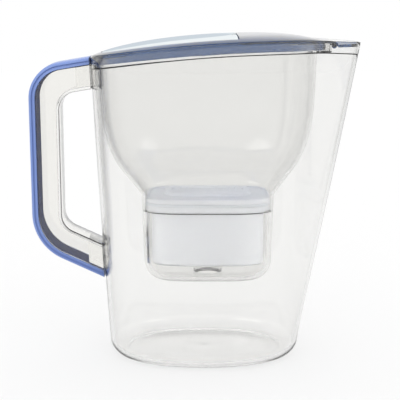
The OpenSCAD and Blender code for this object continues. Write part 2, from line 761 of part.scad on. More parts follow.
module flip_flap() {
    notch_back = flap_barrel_r + lug_stand + opening_gap;
    notch_h = 10;
    notch_w = lug_w + 2 * lug_gap;
    pin_end = lid_lug_y + lug_w - pin_setback;
    color([0.93, 0.95, 0.97, 0.9]) {
        difference() {
            flap_sheet();
            both_sides()
                translate([flap_hinge_x - notch_back, flap_barrel_l, flap_axis_z - notch_h / 2])
                    cube([2 * notch_back, notch_w, notch_h]);
        }
        pin_y(flap_hinge_x, flap_axis_z, flap_barrel_r, -flap_barrel_l, flap_barrel_l);
        pin_y(flap_hinge_x, flap_axis_z, flap_pin_r, -pin_end, pin_end);
    }
}

// Spout flap

// Gap between the blade and the spout's wall
spout_clear = 0.6;
// Length of the bar that joins the blade to its barrel
spout_bar_l = 4;
blade_start_x = spout_axis_x + spout_bar_l - overlap;
blade_turns = [-10 : 1 : 10];

module spout_flap() {
    pin_end = spout_lug_y + lug_w - pin_setback;
    blade = [for (t = blade_turns)
        let (p = jug_inset(t, spout_flap_z, rim_wall + spout_clear)) [max(p.x, blade_start_x), p.y]];
    color([0.35, 0.44, 0.66, 0.8]) {
        translate([0, 0, spout_flap_z - spout_flap_t]) linear_extrude(height = spout_flap_t)
            polygon(blade);
        translate([spout_axis_x, -spout_barrel_l, spout_flap_z - spout_flap_t])
            cube([spout_bar_l, 2 * spout_barrel_l, spout_flap_t]);
        pin_y(spout_axis_x, spout_axis_z, spout_barrel_r, -spout_barrel_l, spout_barrel_l);
        pin_y(spout_axis_x, spout_axis_z, spout_pin_r, -pin_end, pin_end);
    }
}

jug();
handle_frame();
handle_grip();
funnel();
cartridge_cup();
cartridge_cap();
cartridge_seal();
inlet_screen();
outlet_screen();
carbon_granules();
resin_beads();
lid_shell();
flip_flap();
spout_flap();
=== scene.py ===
"""Looks of a clear water filter pitcher: jug, handle, funnel, cartridge, lid and two flaps."""

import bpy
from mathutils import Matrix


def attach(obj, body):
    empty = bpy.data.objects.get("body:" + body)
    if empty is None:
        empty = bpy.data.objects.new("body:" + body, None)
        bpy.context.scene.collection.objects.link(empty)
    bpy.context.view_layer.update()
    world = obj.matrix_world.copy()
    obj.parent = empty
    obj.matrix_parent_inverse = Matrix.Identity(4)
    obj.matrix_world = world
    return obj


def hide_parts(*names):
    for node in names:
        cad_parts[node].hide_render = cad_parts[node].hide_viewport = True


bl_info = {
    "name": "Water filter pitcher",
    "version": (1, 0, 0),
    "blender": (4, 5, 0),
    "location": "3D View > Sidebar > Pitcher",
    "description": "Builds the visible surfaces of a water filter pitcher around its packed frame",
    "category": "Object",
}

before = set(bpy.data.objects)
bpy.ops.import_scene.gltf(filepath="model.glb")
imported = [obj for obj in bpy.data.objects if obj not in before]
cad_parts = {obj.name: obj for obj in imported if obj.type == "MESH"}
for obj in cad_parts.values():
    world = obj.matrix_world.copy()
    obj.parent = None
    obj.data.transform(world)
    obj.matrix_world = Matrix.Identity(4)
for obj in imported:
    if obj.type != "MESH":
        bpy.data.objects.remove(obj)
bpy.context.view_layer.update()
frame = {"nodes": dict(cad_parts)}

import math

import bmesh
import bpy
import numpy as np
from bpy.props import FloatProperty, FloatVectorProperty, IntProperty, PointerProperty

MM = 0.001


# Properties


def length(name, millimetres, description):
    return FloatProperty(
        name=name, description=description, default=millimetres * MM, unit="LENGTH", precision=5
    )


def slope(name, degrees, description):
    return FloatProperty(
        name=name, description=description, default=math.radians(degrees), subtype="ANGLE"
    )


def number(name, value, description):
    return FloatProperty(name=name, description=description, default=value)


def colour(name, value, description):
    return FloatVectorProperty(
        name=name, description=description, default=value, subtype="COLOR", size=3, min=0, max=1
    )


class PitcherJugSizes(bpy.types.PropertyGroup):
    """Sizes of the jug and its spout"""

    base_half_l: length("Base half length", 79, "Half of the oval's length at the base")
    base_half_w: length("Base half width", 58, "Half of the oval's width at the base")
    top_half_l: length("Rim half length", 93, "Half of the oval's length at the rim")
    top_half_w: length("Rim half width", 70.5, "Half of the oval's width at the rim")
    rim_top_z: length("Rim height", 263.9, "Height of the rim's highest point")
    rim_crest_x: length("Rim crest", 59, "Place of the rim's highest point along the jug")
    rim_arc_r: length("Rim arch", 820, "Radius of the arched rim, seen from the side")
    oval_power: number("Squareness", 2.3, "Squareness of the oval: 2 is an ellipse")
    side_bow: length("Bow", 1, "How far the sides bow out between base and rim")
    base_fillet: length("Base fillet", 12, "Radius of the edge between base and side")
    wall: length("Wall", 3, "Thickness of the jug's side")
    rim_wall: length("Rim wall", 1.6, "Thickness of the rim above the funnel's ledge")
    floor_t: length("Floor", 3.6, "Thickness of the jug's floor")
    ledge_drop: length("Ledge depth", 9.5, "Depth of the funnel's ledge below the rim")
    foot_w: length("Foot width", 3, "Width of the foot ring that the jug stands on")
    foot_h: length("Foot height", 0.32, "How far the base is hollowed inside its foot ring")
    spout_start_z: length("Spout start", 13, "Height at which the spout starts to stand out")
    spout_lean: number("Spout lean", 0.1385, "How far the spout stands out for each unit of height")
    spout_spread: slope("Spout spread", 11.5, "Half of the angle over which the spout spreads")


class PitcherHandleSizes(bpy.types.PropertyGroup):
    """Sizes of the handle's clear frame and its grip strip"""

    reach: length("Reach", 142.8, "Distance of the grip's outer face from the jug's middle")
    drop: length("Drop", 0, "How far the grip's top lies under the rim")
    low_z: length("Lower end", 66, "Height of the grip's lower edge where it meets the jug")
    upper_slope: slope("Upper slope", 9.5, "Slope of the upper arm")
    lower_slope: slope("Lower slope", 25, "Slope of the lower arm")
    upper_corner_r: length("Upper corner", 30, "Radius of the upper corner")
    lower_corner_r: length("Lower corner", 42, "Radius of the lower corner")
    grip_w: length("Grip width", 30, "Width of the grip strip")
    grip_t: length("Grip thickness", 5.8, "Thickness of the grip strip")
    grip_edge_r: length("Grip edge", 2.2, "Radius of the grip's long edges")
    rib_w: length("Rib width", 21.2, "Width of the rib under the grip strip")
    rib_depth: length("Rib depth", 0.5, "Depth of the rib that shows under the grip strip")
    frame_w: length("Frame width", 27, "Width of the clear frame")
    frame_wall: length("Frame wall", 2.5, "Wall thickness of the frame's channel")
    frame_depth: length("Upright depth", 19.2, "Depth of the frame along the upright")
    upper_depth: length("Upper depth", 20, "Depth of the frame in its upper arm")
    lower_depth: length("Lower depth", 19.8, "Depth of the frame in its lower arm")
    finger_corner_r: length("Finger corner", 15, "Radius of the finger gap's corners")
    lug_reach: length("Lug reach", 12, "How far the jug's two lugs reach into the frame")
    lines: IntProperty(name="Lines", description="Fine lines along the grip's underside", default=6)
    line_pitch: length("Line pitch", 3.4, "Distance between the fine lines")
    line_r: length("Line radius", 0.3, "Radius of the fine lines")


class PitcherFunnelSizes(bpy.types.PropertyGroup):
    """Sizes of the funnel that hangs in the jug's mouth"""

    wall: length("Wall", 2, "Wall thickness of the funnel")
    ledge_t: length("Ledge", 1.5, "Thickness of the ledge under the rim band")
    nose_x: length("Nose", 101, "Place of the flat nose along the jug")
    chamber_setback: length("Chamber setback", 11.5, "Distance of the chamber behind the nose")
    chamber_back_gap: length("Back gap", 1.9, "Gap between chamber and jug at the handle's end")
    chamber_side_gap: length("Side gap", 4.2, "Gap between chamber and jug at the sides")
    shoulder_drop: length("Shoulder depth", 37.9, "Depth at which the chamber's shoulder ends")
    well_half_l: length("Well half length", 54.6, "Half of the well's length at its mouth")
    well_half_w: length("Well half width", 36, "Half of the well's width at its mouth")
    well_top_z: length("Well mouth", 138, "Height of the well's mouth")
    well_floor_z: length("Well floor", 65, "Height of the well's underside")
    well_fillet: length("Well fillet", 17, "Radius of the well's lower edge")
    well_taper: length("Well taper", 2.2, "How much the well narrows towards its floor")
    well_x: length("Well middle", 3, "Place of the well's middle along the jug")
    outlet_half_l: length("Outlet half length", 10, "Half of the outlet's length")
    outlet_half_w: length("Outlet half width", 9, "Half of the outlet's width")
    collar_h: length("Collar", 4, "Height of the collar round the outlet")
    seat_step: length("Seat step", 1.6, "Width of the ledge that carries the cartridge")
    seat_slope: length("Seat slope", 1, "Height of the slope above that ledge")


class PitcherCartridgeSizes(bpy.types.PropertyGroup):
    """Sizes of the filter cartridge"""

    power: number("Cartridge squareness", 4, "Squareness of the cartridge and its well")
    cap_half_l: length("Cap half length", 51.6, "Half of the cap's length")
    cap_half_w: length("Cap half width", 33, "Half of the cap's width")
    band_h: length("Band height", 11.5, "Height of the cap's band")
    cap_low_z: length("Cap lower edge", 126, "Height of the cap's lower edge")
    cup_setback: length("Cup setback", 4.6, "How far the cup stands back from the cap's band")
    cup_low_z: length("Cup underside", 80, "Height of the cup's underside")
    wall: length("Wall", 1.8, "Wall thickness of the cup and the cap")
    crown_h: length("Crown", 2.5, "Height of the cap's raised middle")
    crown_half_l: length("Crown half length", 36, "Half of the raised middle's length")
    crown_half_w: length("Crown half width", 20, "Half of the raised middle's width")
    slats: IntProperty(name="Slats", description="Slats across the inlet", default=11)
    slat_pitch: length("Slat pitch", 5, "Distance from one slat to the next")
    slot_l: length("Slot length", 22, "Length of the water slots between the slats")


class PitcherLidSizes(bpy.types.PropertyGroup):
    """Sizes of the lid and its two flaps"""

    top_t: length("Top", 2, "Thickness of the lid's top")
    skirt_clear: length("Skirt clearance", 0.3, "Clearance under the lid's skirt")
    skirt_t: length("Skirt", 1.8, "Thickness of the lid's skirt")
    skirt_setback: length("Skirt setback", 5.7, "Distance of the skirt's front from the nose")
    plate_over_nose: length("Overhang", 1.3, "How far the lid's top reaches past the nose")
    dome_h: length("Dome", 4.4, "Height of the lid's dome over the middle of the jug")
    dome_power: number("Dome power", 5, "How late the dome falls off towards the rim")
    flap_back_rim: length("Flap back rim", 3.8, "Width of the lid's top behind the flip flap")
    flap_side_rim: length("Flap side rim", 6.3, "Width of the lid's top beside the flip flap")
    flap_round: length("Flap round", 60, "How far the flap's oval would run past its hinge")
    flap_hinge_x: length("Flap hinge", 24, "Place of the flip flap's hinge along the jug")
    flap_axis_drop: length("Hinge depth", 1.2, "Depth of the flap's hinge under the lid's top")
    barrel_l: length("Barrel", 12, "Half of the flip flap's hinge barrel length")
    barrel_r: length("Barrel radius", 2.1, "Radius of the flip flap's hinge barrel")
    pin_r: length("Pin radius", 1.2, "Radius of the flip flap's pins")
    opening_gap: length("Opening gap", 0.5, "Gap round the flip flap")
    spout_drop: length("Spout flap depth", 3.1, "Depth of the spout flap's top under the rim")
    spout_t: length("Spout flap", 2.2, "Thickness of the spout flap")
    spout_barrel_r: length("Spout barrel radius", 2, "Radius of the spout flap's barrel")
    spout_barrel_l: length("Spout barrel", 9, "Half of the spout flap's barrel length")
    spout_pin_r: length("Spout pin radius", 1.1, "Radius of the spout flap's pins")
    spout_axis_over: length("Spout axis", 1.5, "Distance of the spout flap's hinge past the lid")
    spout_clear: length("Spout clearance", 0.6, "Gap between the spout flap and the spout")
    lug_w: length("Lug width", 3.2, "Width of the hinge lugs")
    lug_gap: length("Lug gap", 0.4, "Gap between a lug and its barrel")
    lug_stand: length("Lug wall", 0.3, "How far a lug stands past its barrel")


class PitcherFits(bpy.types.PropertyGroup):
    """Clearances between pieces"""

    lift_gap: length("Lift gap", 0.4, "Clearance between pieces that lift apart")
    snap_gap: length("Snap gap", 0.1, "Clearance between pieces snapped together")
    rest_gap: length("Rest gap", 0.3, "Clearance under a piece that rests on another")


class PitcherColours(bpy.types.PropertyGroup):
    """Colours of the plastics"""

    clear: colour("Clear", (0.95, 0.949, 0.942), "Tint of one pass through the clear plastic")
    frame: colour("Frame", (0.935, 0.93, 0.912), "Tint of the handle's clear frame")
    # Painted shade: the frame's darker colour where it turns away
    frame_edge_shade: colour("Frame edge", (0.76, 0.76, 0.75), "The frame's tint where it turns away")
    # Painted shade: the clear plastic's darker colour where it turns away
    clear_edge_shade: colour("Clear edge", (0.60, 0.60, 0.59), "Tint where clear plastic turns away")
    grip: colour("Grip", (0.13, 0.21, 0.50), "The satin grip strip")
    # Painted shade: the grip's blue darkened for its side in the frame's channel
    grip_under_shade: colour("Grip underside", (0.022, 0.042, 0.17), "The grip's side in its channel")
    lid: colour("Lid", (0.035, 0.10, 0.27), "Tint of the see-through blue lid")
    # Painted shade: the blue lid's darker colour where it turns away
    lid_edge_shade: colour("Lid edge", (0.022, 0.055, 0.16), "The lid's tint where it turns away")
    flap: colour("Flip flap", (0.54, 0.57, 0.58), "The frosted flip flap")
    # Painted reflection: the greyer middle of the flip flap
    flap_middle_reflection: colour("Flap middle", (0.385, 0.425, 0.46), "The flip flap's clearer middle")
    cartridge: colour("Cartridge", (0.765, 0.775, 0.80), "The cartridge's white plastic")
    seal: colour("Seal", (0.72, 0.75, 0.79), "The soft seal ring")
    carbon: colour("Carbon", (0.02, 0.02, 0.022), "Activated carbon")
    fleece: colour("Screens", (0.86, 0.86, 0.84), "The cartridge's two non-woven screens")
    resin: colour("Resin", (0.48, 0.30, 0.09), "Ion-exchange beads")


class PitcherStudio(bpy.types.PropertyGroup):
    """Camera and light"""

    camera_x: length("Camera X", -3.4, "Camera's place along the jug")
    camera_y: length("Camera Y", -850, "Camera's distance in front of the jug")
    camera_z: length("Camera height", 303, "Camera's height above the table")
    tilt: slope("Tilt", 11.507, "How far the camera looks down")
    lens: number("Lens", 93.13, "Focal length in millimetres on a 36 mm wide picture")
    ambient: number("Ambient", 1.6, "Light from all round")
    inner_light: number("Inner light", 3.5, "Extra light for pieces behind clear walls")
    floor_size: length("Floor", 6000, "Length of the floor")


# Socket arithmetic and node making


class Value:
    """One output socket of a node tree. Arithmetic on it adds Math nodes."""

    def __init__(self, maker, socket):
        self.maker = maker
        self.socket = socket

    def maths(self, operation, *others, clamp=False):
        return self.maker.node(
            "ShaderNodeMath", {"operation": operation, "use_clamp": clamp},
            dict(enumerate((self,) + others)),
        )

    def __add__(self, other):
        return self.maths("ADD", other)

    def __sub__(self, other):
        return self.maths("SUBTRACT", other)

    def __rsub__(self, other):
        return self.maker.node(
            "ShaderNodeMath", {"operation": "SUBTRACT"}, {0: other, 1: self}
        )

    def __mul__(self, other):
        return self.maths("MULTIPLY", other)

    def __truediv__(self, other):
        return self.maths("DIVIDE", other)

    def __pow__(self, other):
        return self.maths("POWER", other)

    __radd__ = __add__
    __rmul__ = __mul__

    def clamped(self):
        return self.maths("ADD", 0.0, clamp=True)


class Maker:
    """Adds nodes to one tree"""

    def __init__(self, tree):
        self.tree = tree
        tree.nodes.clear()

    def node(self, kind, settings=None, inputs=None, out=0):
        made = self.tree.nodes.new(kind)
        for name, value in (settings or {}).items():
            setattr(made, name, value)
        for key, value in (inputs or {}).items():
            if isinstance(value, Value):
                self.tree.links.new(value.socket, made.inputs[key])
            else:
                made.inputs[key].default_value = value
        if not made.outputs:
            return made
        return Value(self, made.outputs[out])

    def mix(self, factor, first, second):
        return self.node(
            "ShaderNodeMix", {"data_type": "RGBA"}, {0: factor, 6: first, 7: second}, out=2
        )

    def noise(self, place, scale, detail=2.0, roughness=0.5):
        return self.node(
            "ShaderNodeTexNoise", {},
            {"Vector": place, "Scale": scale, "Detail": detail, "Roughness": roughness},
        )

    def place(self):
        return self.node("ShaderNodeTexCoord", out=3)

    def bump(self, height, strength, distance):
        return self.node(
            "ShaderNodeBump", {}, {"Height": height, "Strength": strength, "Distance": distance}
        )


def rgba(rgb):
    return (rgb[0], rgb[1], rgb[2], 1.0)


def finish_surface(maker, inputs):
    """One Principled surface with these constants and links, joined to the output"""
    surface = maker.node("ShaderNodeBsdfPrincipled", {}, inputs)
    maker.node("ShaderNodeOutputMaterial", {}, {"Surface": surface})


def new_material(name):
    material = bpy.data.materials.new(name)
    material.use_nodes = True
    return material, Maker(material.node_tree)


# Materials

PLASTIC_IOR = 1.5


def smooth_step(maker, value, start, full):
    return maker.node("ShaderNodeMapRange", {"interpolation_type": "SMOOTHSTEP"}, {
        0: value, 1: start, 2: full, 3: 0.0, 4: 1.0})


def axis(maker, place, k):
    return maker.node("ShaderNodeSeparateXYZ", {}, {0: place}, out=k)


def shaded(tint, share):
    return rgba([share * channel for channel in tint])


def spout_ridge_shade(maker, place):
    """Painted shade: 1 along the spout's ridge, where the plastic is thickest, fading out downwards
    """
    side = axis(maker, place, 1).maths("ABSOLUTE")
    narrow = smooth_step(maker, side, start=13.0 * MM, full=8.0 * MM)
    return narrow * smooth_step(maker, axis(maker, place, 2), start=90.0 * MM, full=235.0 * MM)


def clear_material(name, tint, edge, roughness=0.015, ridge=False):
    """See-through plastic: painted shade darkens its tint where the wall turns away, with faint
    mould waves
    """
    material, maker = new_material(name)
    place = maker.place()
    facing = maker.node("ShaderNodeLayerWeight", {}, {"Blend": 0.5}, out=1)
    waves = maker.noise(place, scale=14.0)
    # Painted shade: the colour moves towards the edge colour where the wall turns away; the waves
    # add real mould tone
    edge_shade_falloff, wave_share = 3.2, 0.03
    edge_shade_and_waves = facing ** edge_shade_falloff + (waves - 0.5) * wave_share
    if ridge:
        # Painted shade along the spout's ridge where it turns away
        ridge_shade = spout_ridge_shade(maker, place)
        edge_shade_and_waves = edge_shade_and_waves + ridge_shade * smooth_step(maker, facing, start=0.25, full=0.6)
    finish_surface(maker, {
        "Base Color": maker.mix(edge_shade_and_waves.clamped(), rgba(tint), rgba(edge)),
        "Roughness": maker.noise(place, scale=60.0) * 0.02 + roughness,
        "IOR": PLASTIC_IOR,
        "Transmission Weight": 1.0,
        "Normal": maker.bump(waves, strength=0.06, distance=0.002),
    })
    return material


# Scale, detail and roughness of each grain's noise
SATIN_GRAIN = (900.0, 3.0, 0.6)
GRIP_GRAIN = (1400.0, 3.0, 0.6)
WAXY_GRAIN = (1200.0, 2.0, 0.5)


def moulded(name, colour_of, roughness, grain, spread, strength, gloss=None):
    """Opaque moulded plastic: a colour worked out from its place, with a fine grain"""
    material, maker = new_material(name)
    place = maker.place()
    speck = maker.noise(place, *grain)
    inputs = {
        "Base Color": colour_of(maker, place),
        "Roughness": roughness + (speck - 0.5) * spread,
        "Normal": maker.bump(speck, strength=strength, distance=0.0002),
    }
    if gloss is not None:
        inputs["Specular IOR Level"] = gloss
    finish_surface(maker, inputs)
    return material


def satin_material(name, tint, roughness=0.42, gloss=0.5):
    """Satin plastic with faint cloudiness"""

    def colour_of(maker, place):
        cloud = maker.noise(place, scale=18.0, detail=3.0)
        return maker.mix(cloud, shaded(tint, 0.88), rgba(tint))

    return moulded(name, colour_of, roughness, SATIN_GRAIN, spread=0.12, strength=0.12, gloss=gloss)


def grip_material(name, tint, half_w):
    """Soft satin strip with a painted sheen: paler along its crown"""

    def colour_of(maker, place):
        crown = 1.0 - (axis(maker, place, 1) / half_w) ** 2.0
        cloud = maker.noise(place, scale=22.0)
        # Painted sheen: the paler colour along the crown; the cloud adds real tone
        sheen_colour = [channel + (1.0 - channel) * 0.16 for channel in tint]
        return maker.mix((crown * 0.6 + cloud * 0.4).clamped(), rgba(tint), rgba(sheen_colour))

    return moulded(name, colour_of, 0.38, GRIP_GRAIN, spread=0.15, strength=0.15)


def flap_material(name, tint, middle):
    """Frosted plastic with a greyer middle that is a painted reflection of the backdrop"""
    reflection_x, reflection_half_l, reflection_half_w = -30.0 * MM, 52.0 * MM, 38.0 * MM
    reflection_power = 2.6

    def colour_of(maker, place):
        along = (axis(maker, place, 0) - reflection_x) / reflection_half_l
        across = axis(maker, place, 1) / reflection_half_w
        out = along.maths("ABSOLUTE") ** reflection_power + across.maths("ABSOLUTE") ** reflection_power
        # Painted reflection: 1 over the flap's greyer middle
        window = smooth_step(maker, out, start=1.12, full=0.9)
        return maker.mix(window, rgba(tint), rgba(middle))

    return moulded(name, colour_of, 0.22, SATIN_GRAIN, spread=0.08, strength=0.06, gloss=0.0)


def cartridge_material(name, tint):
    """White plastic, a little waxy, with faint flow marks"""
    cooler = (tint[0] * 0.97, tint[1] * 0.975, tint[2])

    def colour_of(maker, place):
        return maker.mix(maker.noise(place, scale=25.0, detail=3.0), rgba(cooler), rgba(tint))

    return moulded(name, colour_of, 0.34, WAXY_GRAIN, spread=0.1, strength=0.08)


def grain_material(name, tint, scale, gloss):
    """A bed of grains or beads, as cells with dark gaps between them"""
    material, maker = new_material(name)
    spots = {"Vector": maker.place(), "Scale": scale}
    cells = maker.node("ShaderNodeTexVoronoi", {}, spots)
    tone = maker.node("ShaderNodeTexVoronoi", {}, spots, out=1)
    spread = maker.node("ShaderNodeSeparateColor", {}, {0: tone})
    finish_surface(maker, {
        "Base Color": maker.mix(spread, shaded(tint, 0.45), rgba(tint)),
        "Roughness": gloss + cells * 0.3,
        "Normal": maker.bump(1.0 - cells, strength=0.8, distance=0.0006),
    })
    return material


def fleece_material(name, tint):
    """White non-woven screen"""
    material, maker = new_material(name)
    fibres = maker.noise(maker.place(), scale=2600.0, detail=4.0, roughness=0.7)
    finish_surface(maker, {
        "Base Color": maker.mix(fibres, shaded(tint, 0.8), rgba(tint)),
        "Roughness": 0.8 + fibres * 0.15,
        "Normal": maker.bump(fibres, strength=0.5, distance=0.0003),
    })
    return material


# Outlines, all in metres


class Outlines:
    """Plan and side outlines, worked out from the sizes"""

    def __init__(self, scene):
        self.jug = scene.pitcher_jug
        self.handle = scene.pitcher_handle
        self.funnel = scene.pitcher_funnel
        self.cartridge = scene.pitcher_cartridge
        self.lid = scene.pitcher_lid
        self.fits = scene.pitcher_fits

    @staticmethod
    def oval_r(turn, a, b, power):
        across = (np.abs(np.cos(turn)) / a) ** power + (np.abs(np.sin(turn)) / b) ** power
        return across ** (-1 / power)

    def oval(self, turn, mid_x, a, b, power=None):
        r = self.oval_r(turn, a, b, power or self.jug.oval_power)
        return np.stack([mid_x + r * np.cos(turn), r * np.sin(turn)], axis=-1)

    def half(self, z, base, top):
        t = z / self.jug.rim_top_z
        return base + (top - base) * t + 4 * self.jug.side_bow * t * (1 - t)

    def half_l(self, z):
        return self.half(z, self.jug.base_half_l, self.jug.top_half_l)

    def half_w(self, z):
        return self.half(z, self.jug.base_half_w, self.jug.top_half_w)

    def jug_point(self, turn, z):
        stand = self.jug.spout_lean * np.maximum(0, z - self.jug.spout_start_z)
        r = self.oval_r(turn, self.half_l(z), self.half_w(z), self.jug.oval_power)
        r = r + stand * np.exp(-((turn / self.jug.spout_spread) ** 2))
        return np.stack([r * np.cos(turn), r * np.sin(turn)], axis=-1)

    def jug_inset(self, turn, z, inset):
        """Points of the jug's outline at a height, moved inwards at right angles to it"""
        step = math.radians(0.5)
        along = unit(self.jug_point(turn + step, z) - self.jug_point(turn - step, z))
        outward = np.stack([along[:, 1], -along[:, 0]], axis=-1)
        return self.jug_point(turn, z) - inset * outward

    def rim_z(self, x):
        return self.jug.rim_top_z - (x - self.jug.rim_crest_x) ** 2 / (2 * self.jug.rim_arc_r)

    def rim_at(self, turn):
        return self.rim_z(self.jug_point(turn, self.jug.rim_top_z)[:, 0])

    def mouth(self, turn, drop, inset, front_x):
        """Outline inside the jug's wall at a depth below the rim, cut off at the nose"""
        points = self.jug_inset(turn, self.rim_at(turn) - drop, inset)
        points[:, 0] = np.minimum(points[:, 0], front_x)
        return points

    def dome(self, points):
        a = self.half_l(self.jug.rim_top_z)
        b = self.half_w(self.jug.rim_top_z)
        power = self.jug.oval_power
        out = (np.abs(points[:, 0]) / a) ** power + (np.abs(points[:, 1]) / b) ** power
        out = np.minimum(1, out ** (self.lid.dome_power / power))
        return self.lid.dome_h * (1 - out)

    def lid_z(self, points):
        return self.rim_z(points[:, 0]) + self.dome(points)


def turns(count, near_spout=0.35, near_sides=0.2):
    """Angles round an outline, closer together towards the spout"""
    u = np.linspace(-math.pi, math.pi, count, endpoint=False)
    return u - near_spout * np.sin(u) - near_sides * np.sin(2 * u)


def even_turns(count):
    return np.linspace(-math.pi, math.pi, count, endpoint=False)


def unit(vectors):
    """The same directions, each with a length of 1"""
    return vectors / np.linalg.norm(vectors, axis=-1, keepdims=True)


def lift(points, z):
    z = np.broadcast_to(z, points.shape[:1])
    return np.column_stack([points, z])


def smooth_through(points, steps):
    """Points on a smooth curve through the given ones"""
    points = np.array(points, float)
    padded = np.vstack([2 * points[0] - points[1], points, 2 * points[-1] - points[-2]])
    curve = []
    for k in range(len(points) - 1):
        a, b, c, d = padded[k : k + 4]
        for t in np.linspace(0, 1, steps, endpoint=False):
            curve.append(
                0.5 * (2 * b + (c - a) * t + (2 * a - 5 * b + 4 * c - d) * t**2
                       + (3 * b - a - 3 * c + d) * t**3)
            )
    curve.append(points[-1])
    return np.array(curve)


# Meshes


def build_mesh(name, points, faces):
    mesh = bpy.data.meshes.new(name)
    mesh.from_pydata([tuple(p) for p in points], [], faces)
    edit = bmesh.new()
    edit.from_mesh(mesh)
    bmesh.ops.remove_doubles(edit, verts=edit.verts, dist=1e-6)
    bmesh.ops.recalc_face_normals(edit, faces=edit.faces)
    edit.to_mesh(mesh)
    edit.free()
    return mesh


def skin(rings, wrap=False):
    """Points and faces of a surface through closed rings, its ends closed or joined up"""
    around = len(rings[0])
    points = np.vstack(rings)
    faces = []
    rows = len(rings) if wrap else len(rings) - 1
    for k in range(rows):
        a, b = k * around, ((k + 1) % len(rings)) * around
        for i in range(around):
            j = (i + 1) % around
            faces.append((a + i, a + j, b + j, b + i))
    if not wrap:
        last = (len(rings) - 1) * around
        faces.append(tuple(range(around - 1, -1, -1)))
        faces.append(tuple(last + i for i in range(around)))
    return points, faces


def joined(*shapes):
    """Several shapes' points and faces as one"""
    points, faces, start = [], [], 0
    for shape_points, shape_faces in shapes:
        points.append(np.asarray(shape_points))
        faces += [tuple(start + i for i in face) for face in shape_faces]
        start += len(shape_points)
    return np.vstack(points), faces


def box_shape(low, high):
    corners = [(x, y, z) for x in (low[0], high[0]) for y in (low[1], high[1])
               for z in (low[2], high[2])]
    faces = [(0, 1, 3, 2), (4, 6, 7, 5), (0, 4, 5, 1), (2, 3, 7, 6), (0, 2, 6, 4), (1, 5, 7, 3)]
    return np.array(corners), faces


def rod_shape(x, z, r, y_from, y_to, sides=32):
    """A round rod across the jug"""
    turn = even_turns(sides)
    ring = np.column_stack([x + r * np.cos(turn), np.zeros(sides), z + r * np.sin(turn)])
    return skin([ring + [0, y_from, 0], ring + [0, y_to, 0]])


def both_sides(near, far):
    """The stretches across the jug between two distances from its middle"""
    return (near, far), (-far, -near)


def add_object(name, data):
    made = bpy.data.objects.new(name, data)
    bpy.context.scene.collection.objects.link(made)
    return made


def make_piece(name, shape, material, sharp=40.0):
    mesh = build_mesh(name, *shape)
    mesh.shade_smooth()
    mesh.set_sharp_from_angle(angle=math.radians(sharp))
    mesh.materials.append(material)
    return add_object(name, mesh)


def combine(piece, operation, shapes):
    """Fuses closed shapes into a piece (UNION) or cuts them out of it (DIFFERENCE)"""
    for shape in shapes:
        tool = add_object("tool", build_mesh("tool", *shape))
        modifier = piece.modifiers.new("combine", "BOOLEAN")
        modifier.operation = operation
        modifier.solver = "EXACT"
        modifier.object = tool
        apply_modifiers(piece)
        bpy.data.objects.remove(tool)


def apply_modifiers(piece):
    bpy.context.view_layer.update()
    evaluated = piece.evaluated_get(bpy.context.evaluated_depsgraph_get())
    mesh = bpy.data.meshes.new_from_object(evaluated)
    piece.modifiers.clear()
    old = piece.data
    piece.data = mesh
    bpy.data.meshes.remove(old)
    mesh.name = piece.name


# Jug


def jug_shape(o, count=288):
    jug = o.jug
    turn = turns(count)
    rim = o.rim_at(turn)
    fillet = jug.base_fillet
    inner_fillet = fillet - jug.wall
    bends = np.radians(np.linspace(0, 90, 13))[:-1]
    rows = np.linspace(0, 1, 33)
    foot_l = jug.base_half_l - fillet - jug.foot_w
    foot_w = jug.base_half_w - fillet - jug.foot_w
    soft = 2.4 * MM
    tip_r = 0.3 * MM
    gate_r = 2.2 * MM
    gate_h = 0.05 * MM
    flat_in, floor_in = 30 * MM, 20 * MM
    foot_h = jug.foot_h
    edge = 0.6 * MM
    ledge_soft = 0.4 * MM

    def base_ring(grow, z):
        return lift(o.oval(turn, 0, foot_l + grow, foot_w + grow), z)

    def gate_ring(r, z):
        return lift(o.oval(turn, 0, r, r, 2), z)

    rings = [
        gate_ring(tip_r, foot_h + gate_h), gate_ring(0.5 * gate_r, foot_h + gate_h),
        gate_ring(gate_r, foot_h), base_ring(-flat_in, foot_h),
        base_ring(-soft, foot_h), base_ring(-0.3 * soft, 0.75 * foot_h),
        base_ring(0.3 * soft, 0.25 * foot_h), base_ring(soft, 0),
    ]
    for bend in bends:
        z = fillet * (1 - math.cos(bend))
        rings.append(lift(o.jug_inset(turn, z, fillet * (1 - math.sin(bend))), z))
    for row in rows:
        z = fillet + (rim - edge - fillet) * row
        rings.append(lift(o.jug_point(turn, z), z))
    corner = [edge * (1 - math.sin(bend)) for bend in np.radians([30, 60, 90])]
    back = [edge * (1 - math.cos(bend)) for bend in np.radians([30, 60, 90])]
    rounding = list(zip(corner, back))
    rounding += [(drop, jug.rim_wall - step) for drop, step in rounding[::-1]]
    rounding += [(drop, jug.rim_wall)
                 for drop in (edge, 0.5 * jug.ledge_drop, jug.ledge_drop - ledge_soft)]
    rounding += [(jug.ledge_drop, jug.rim_wall + ledge_soft),
                 (jug.ledge_drop, jug.wall - ledge_soft)]
    for drop, inset in rounding:
        rings.append(lift(o.jug_inset(turn, rim - drop, inset), rim - drop))
    low = jug.floor_t + inner_fillet
    high = rim - jug.ledge_drop - ledge_soft
    for row in rows:
        z = high + (low - high) * row
        rings.append(lift(o.jug_inset(turn, z, jug.wall), z))
    for bend in bends[::-1]:
        z = jug.floor_t + inner_fillet * (1 - math.cos(bend))
        inset = jug.wall + inner_fillet * (1 - math.sin(bend))
        rings.append(lift(o.jug_inset(turn, z, inset), z))
    rings.append(base_ring(-floor_in, jug.floor_t))
    rings.append(gate_ring(tip_r, jug.floor_t))
    return skin(rings)


# Handle, drawn as side views of its edges


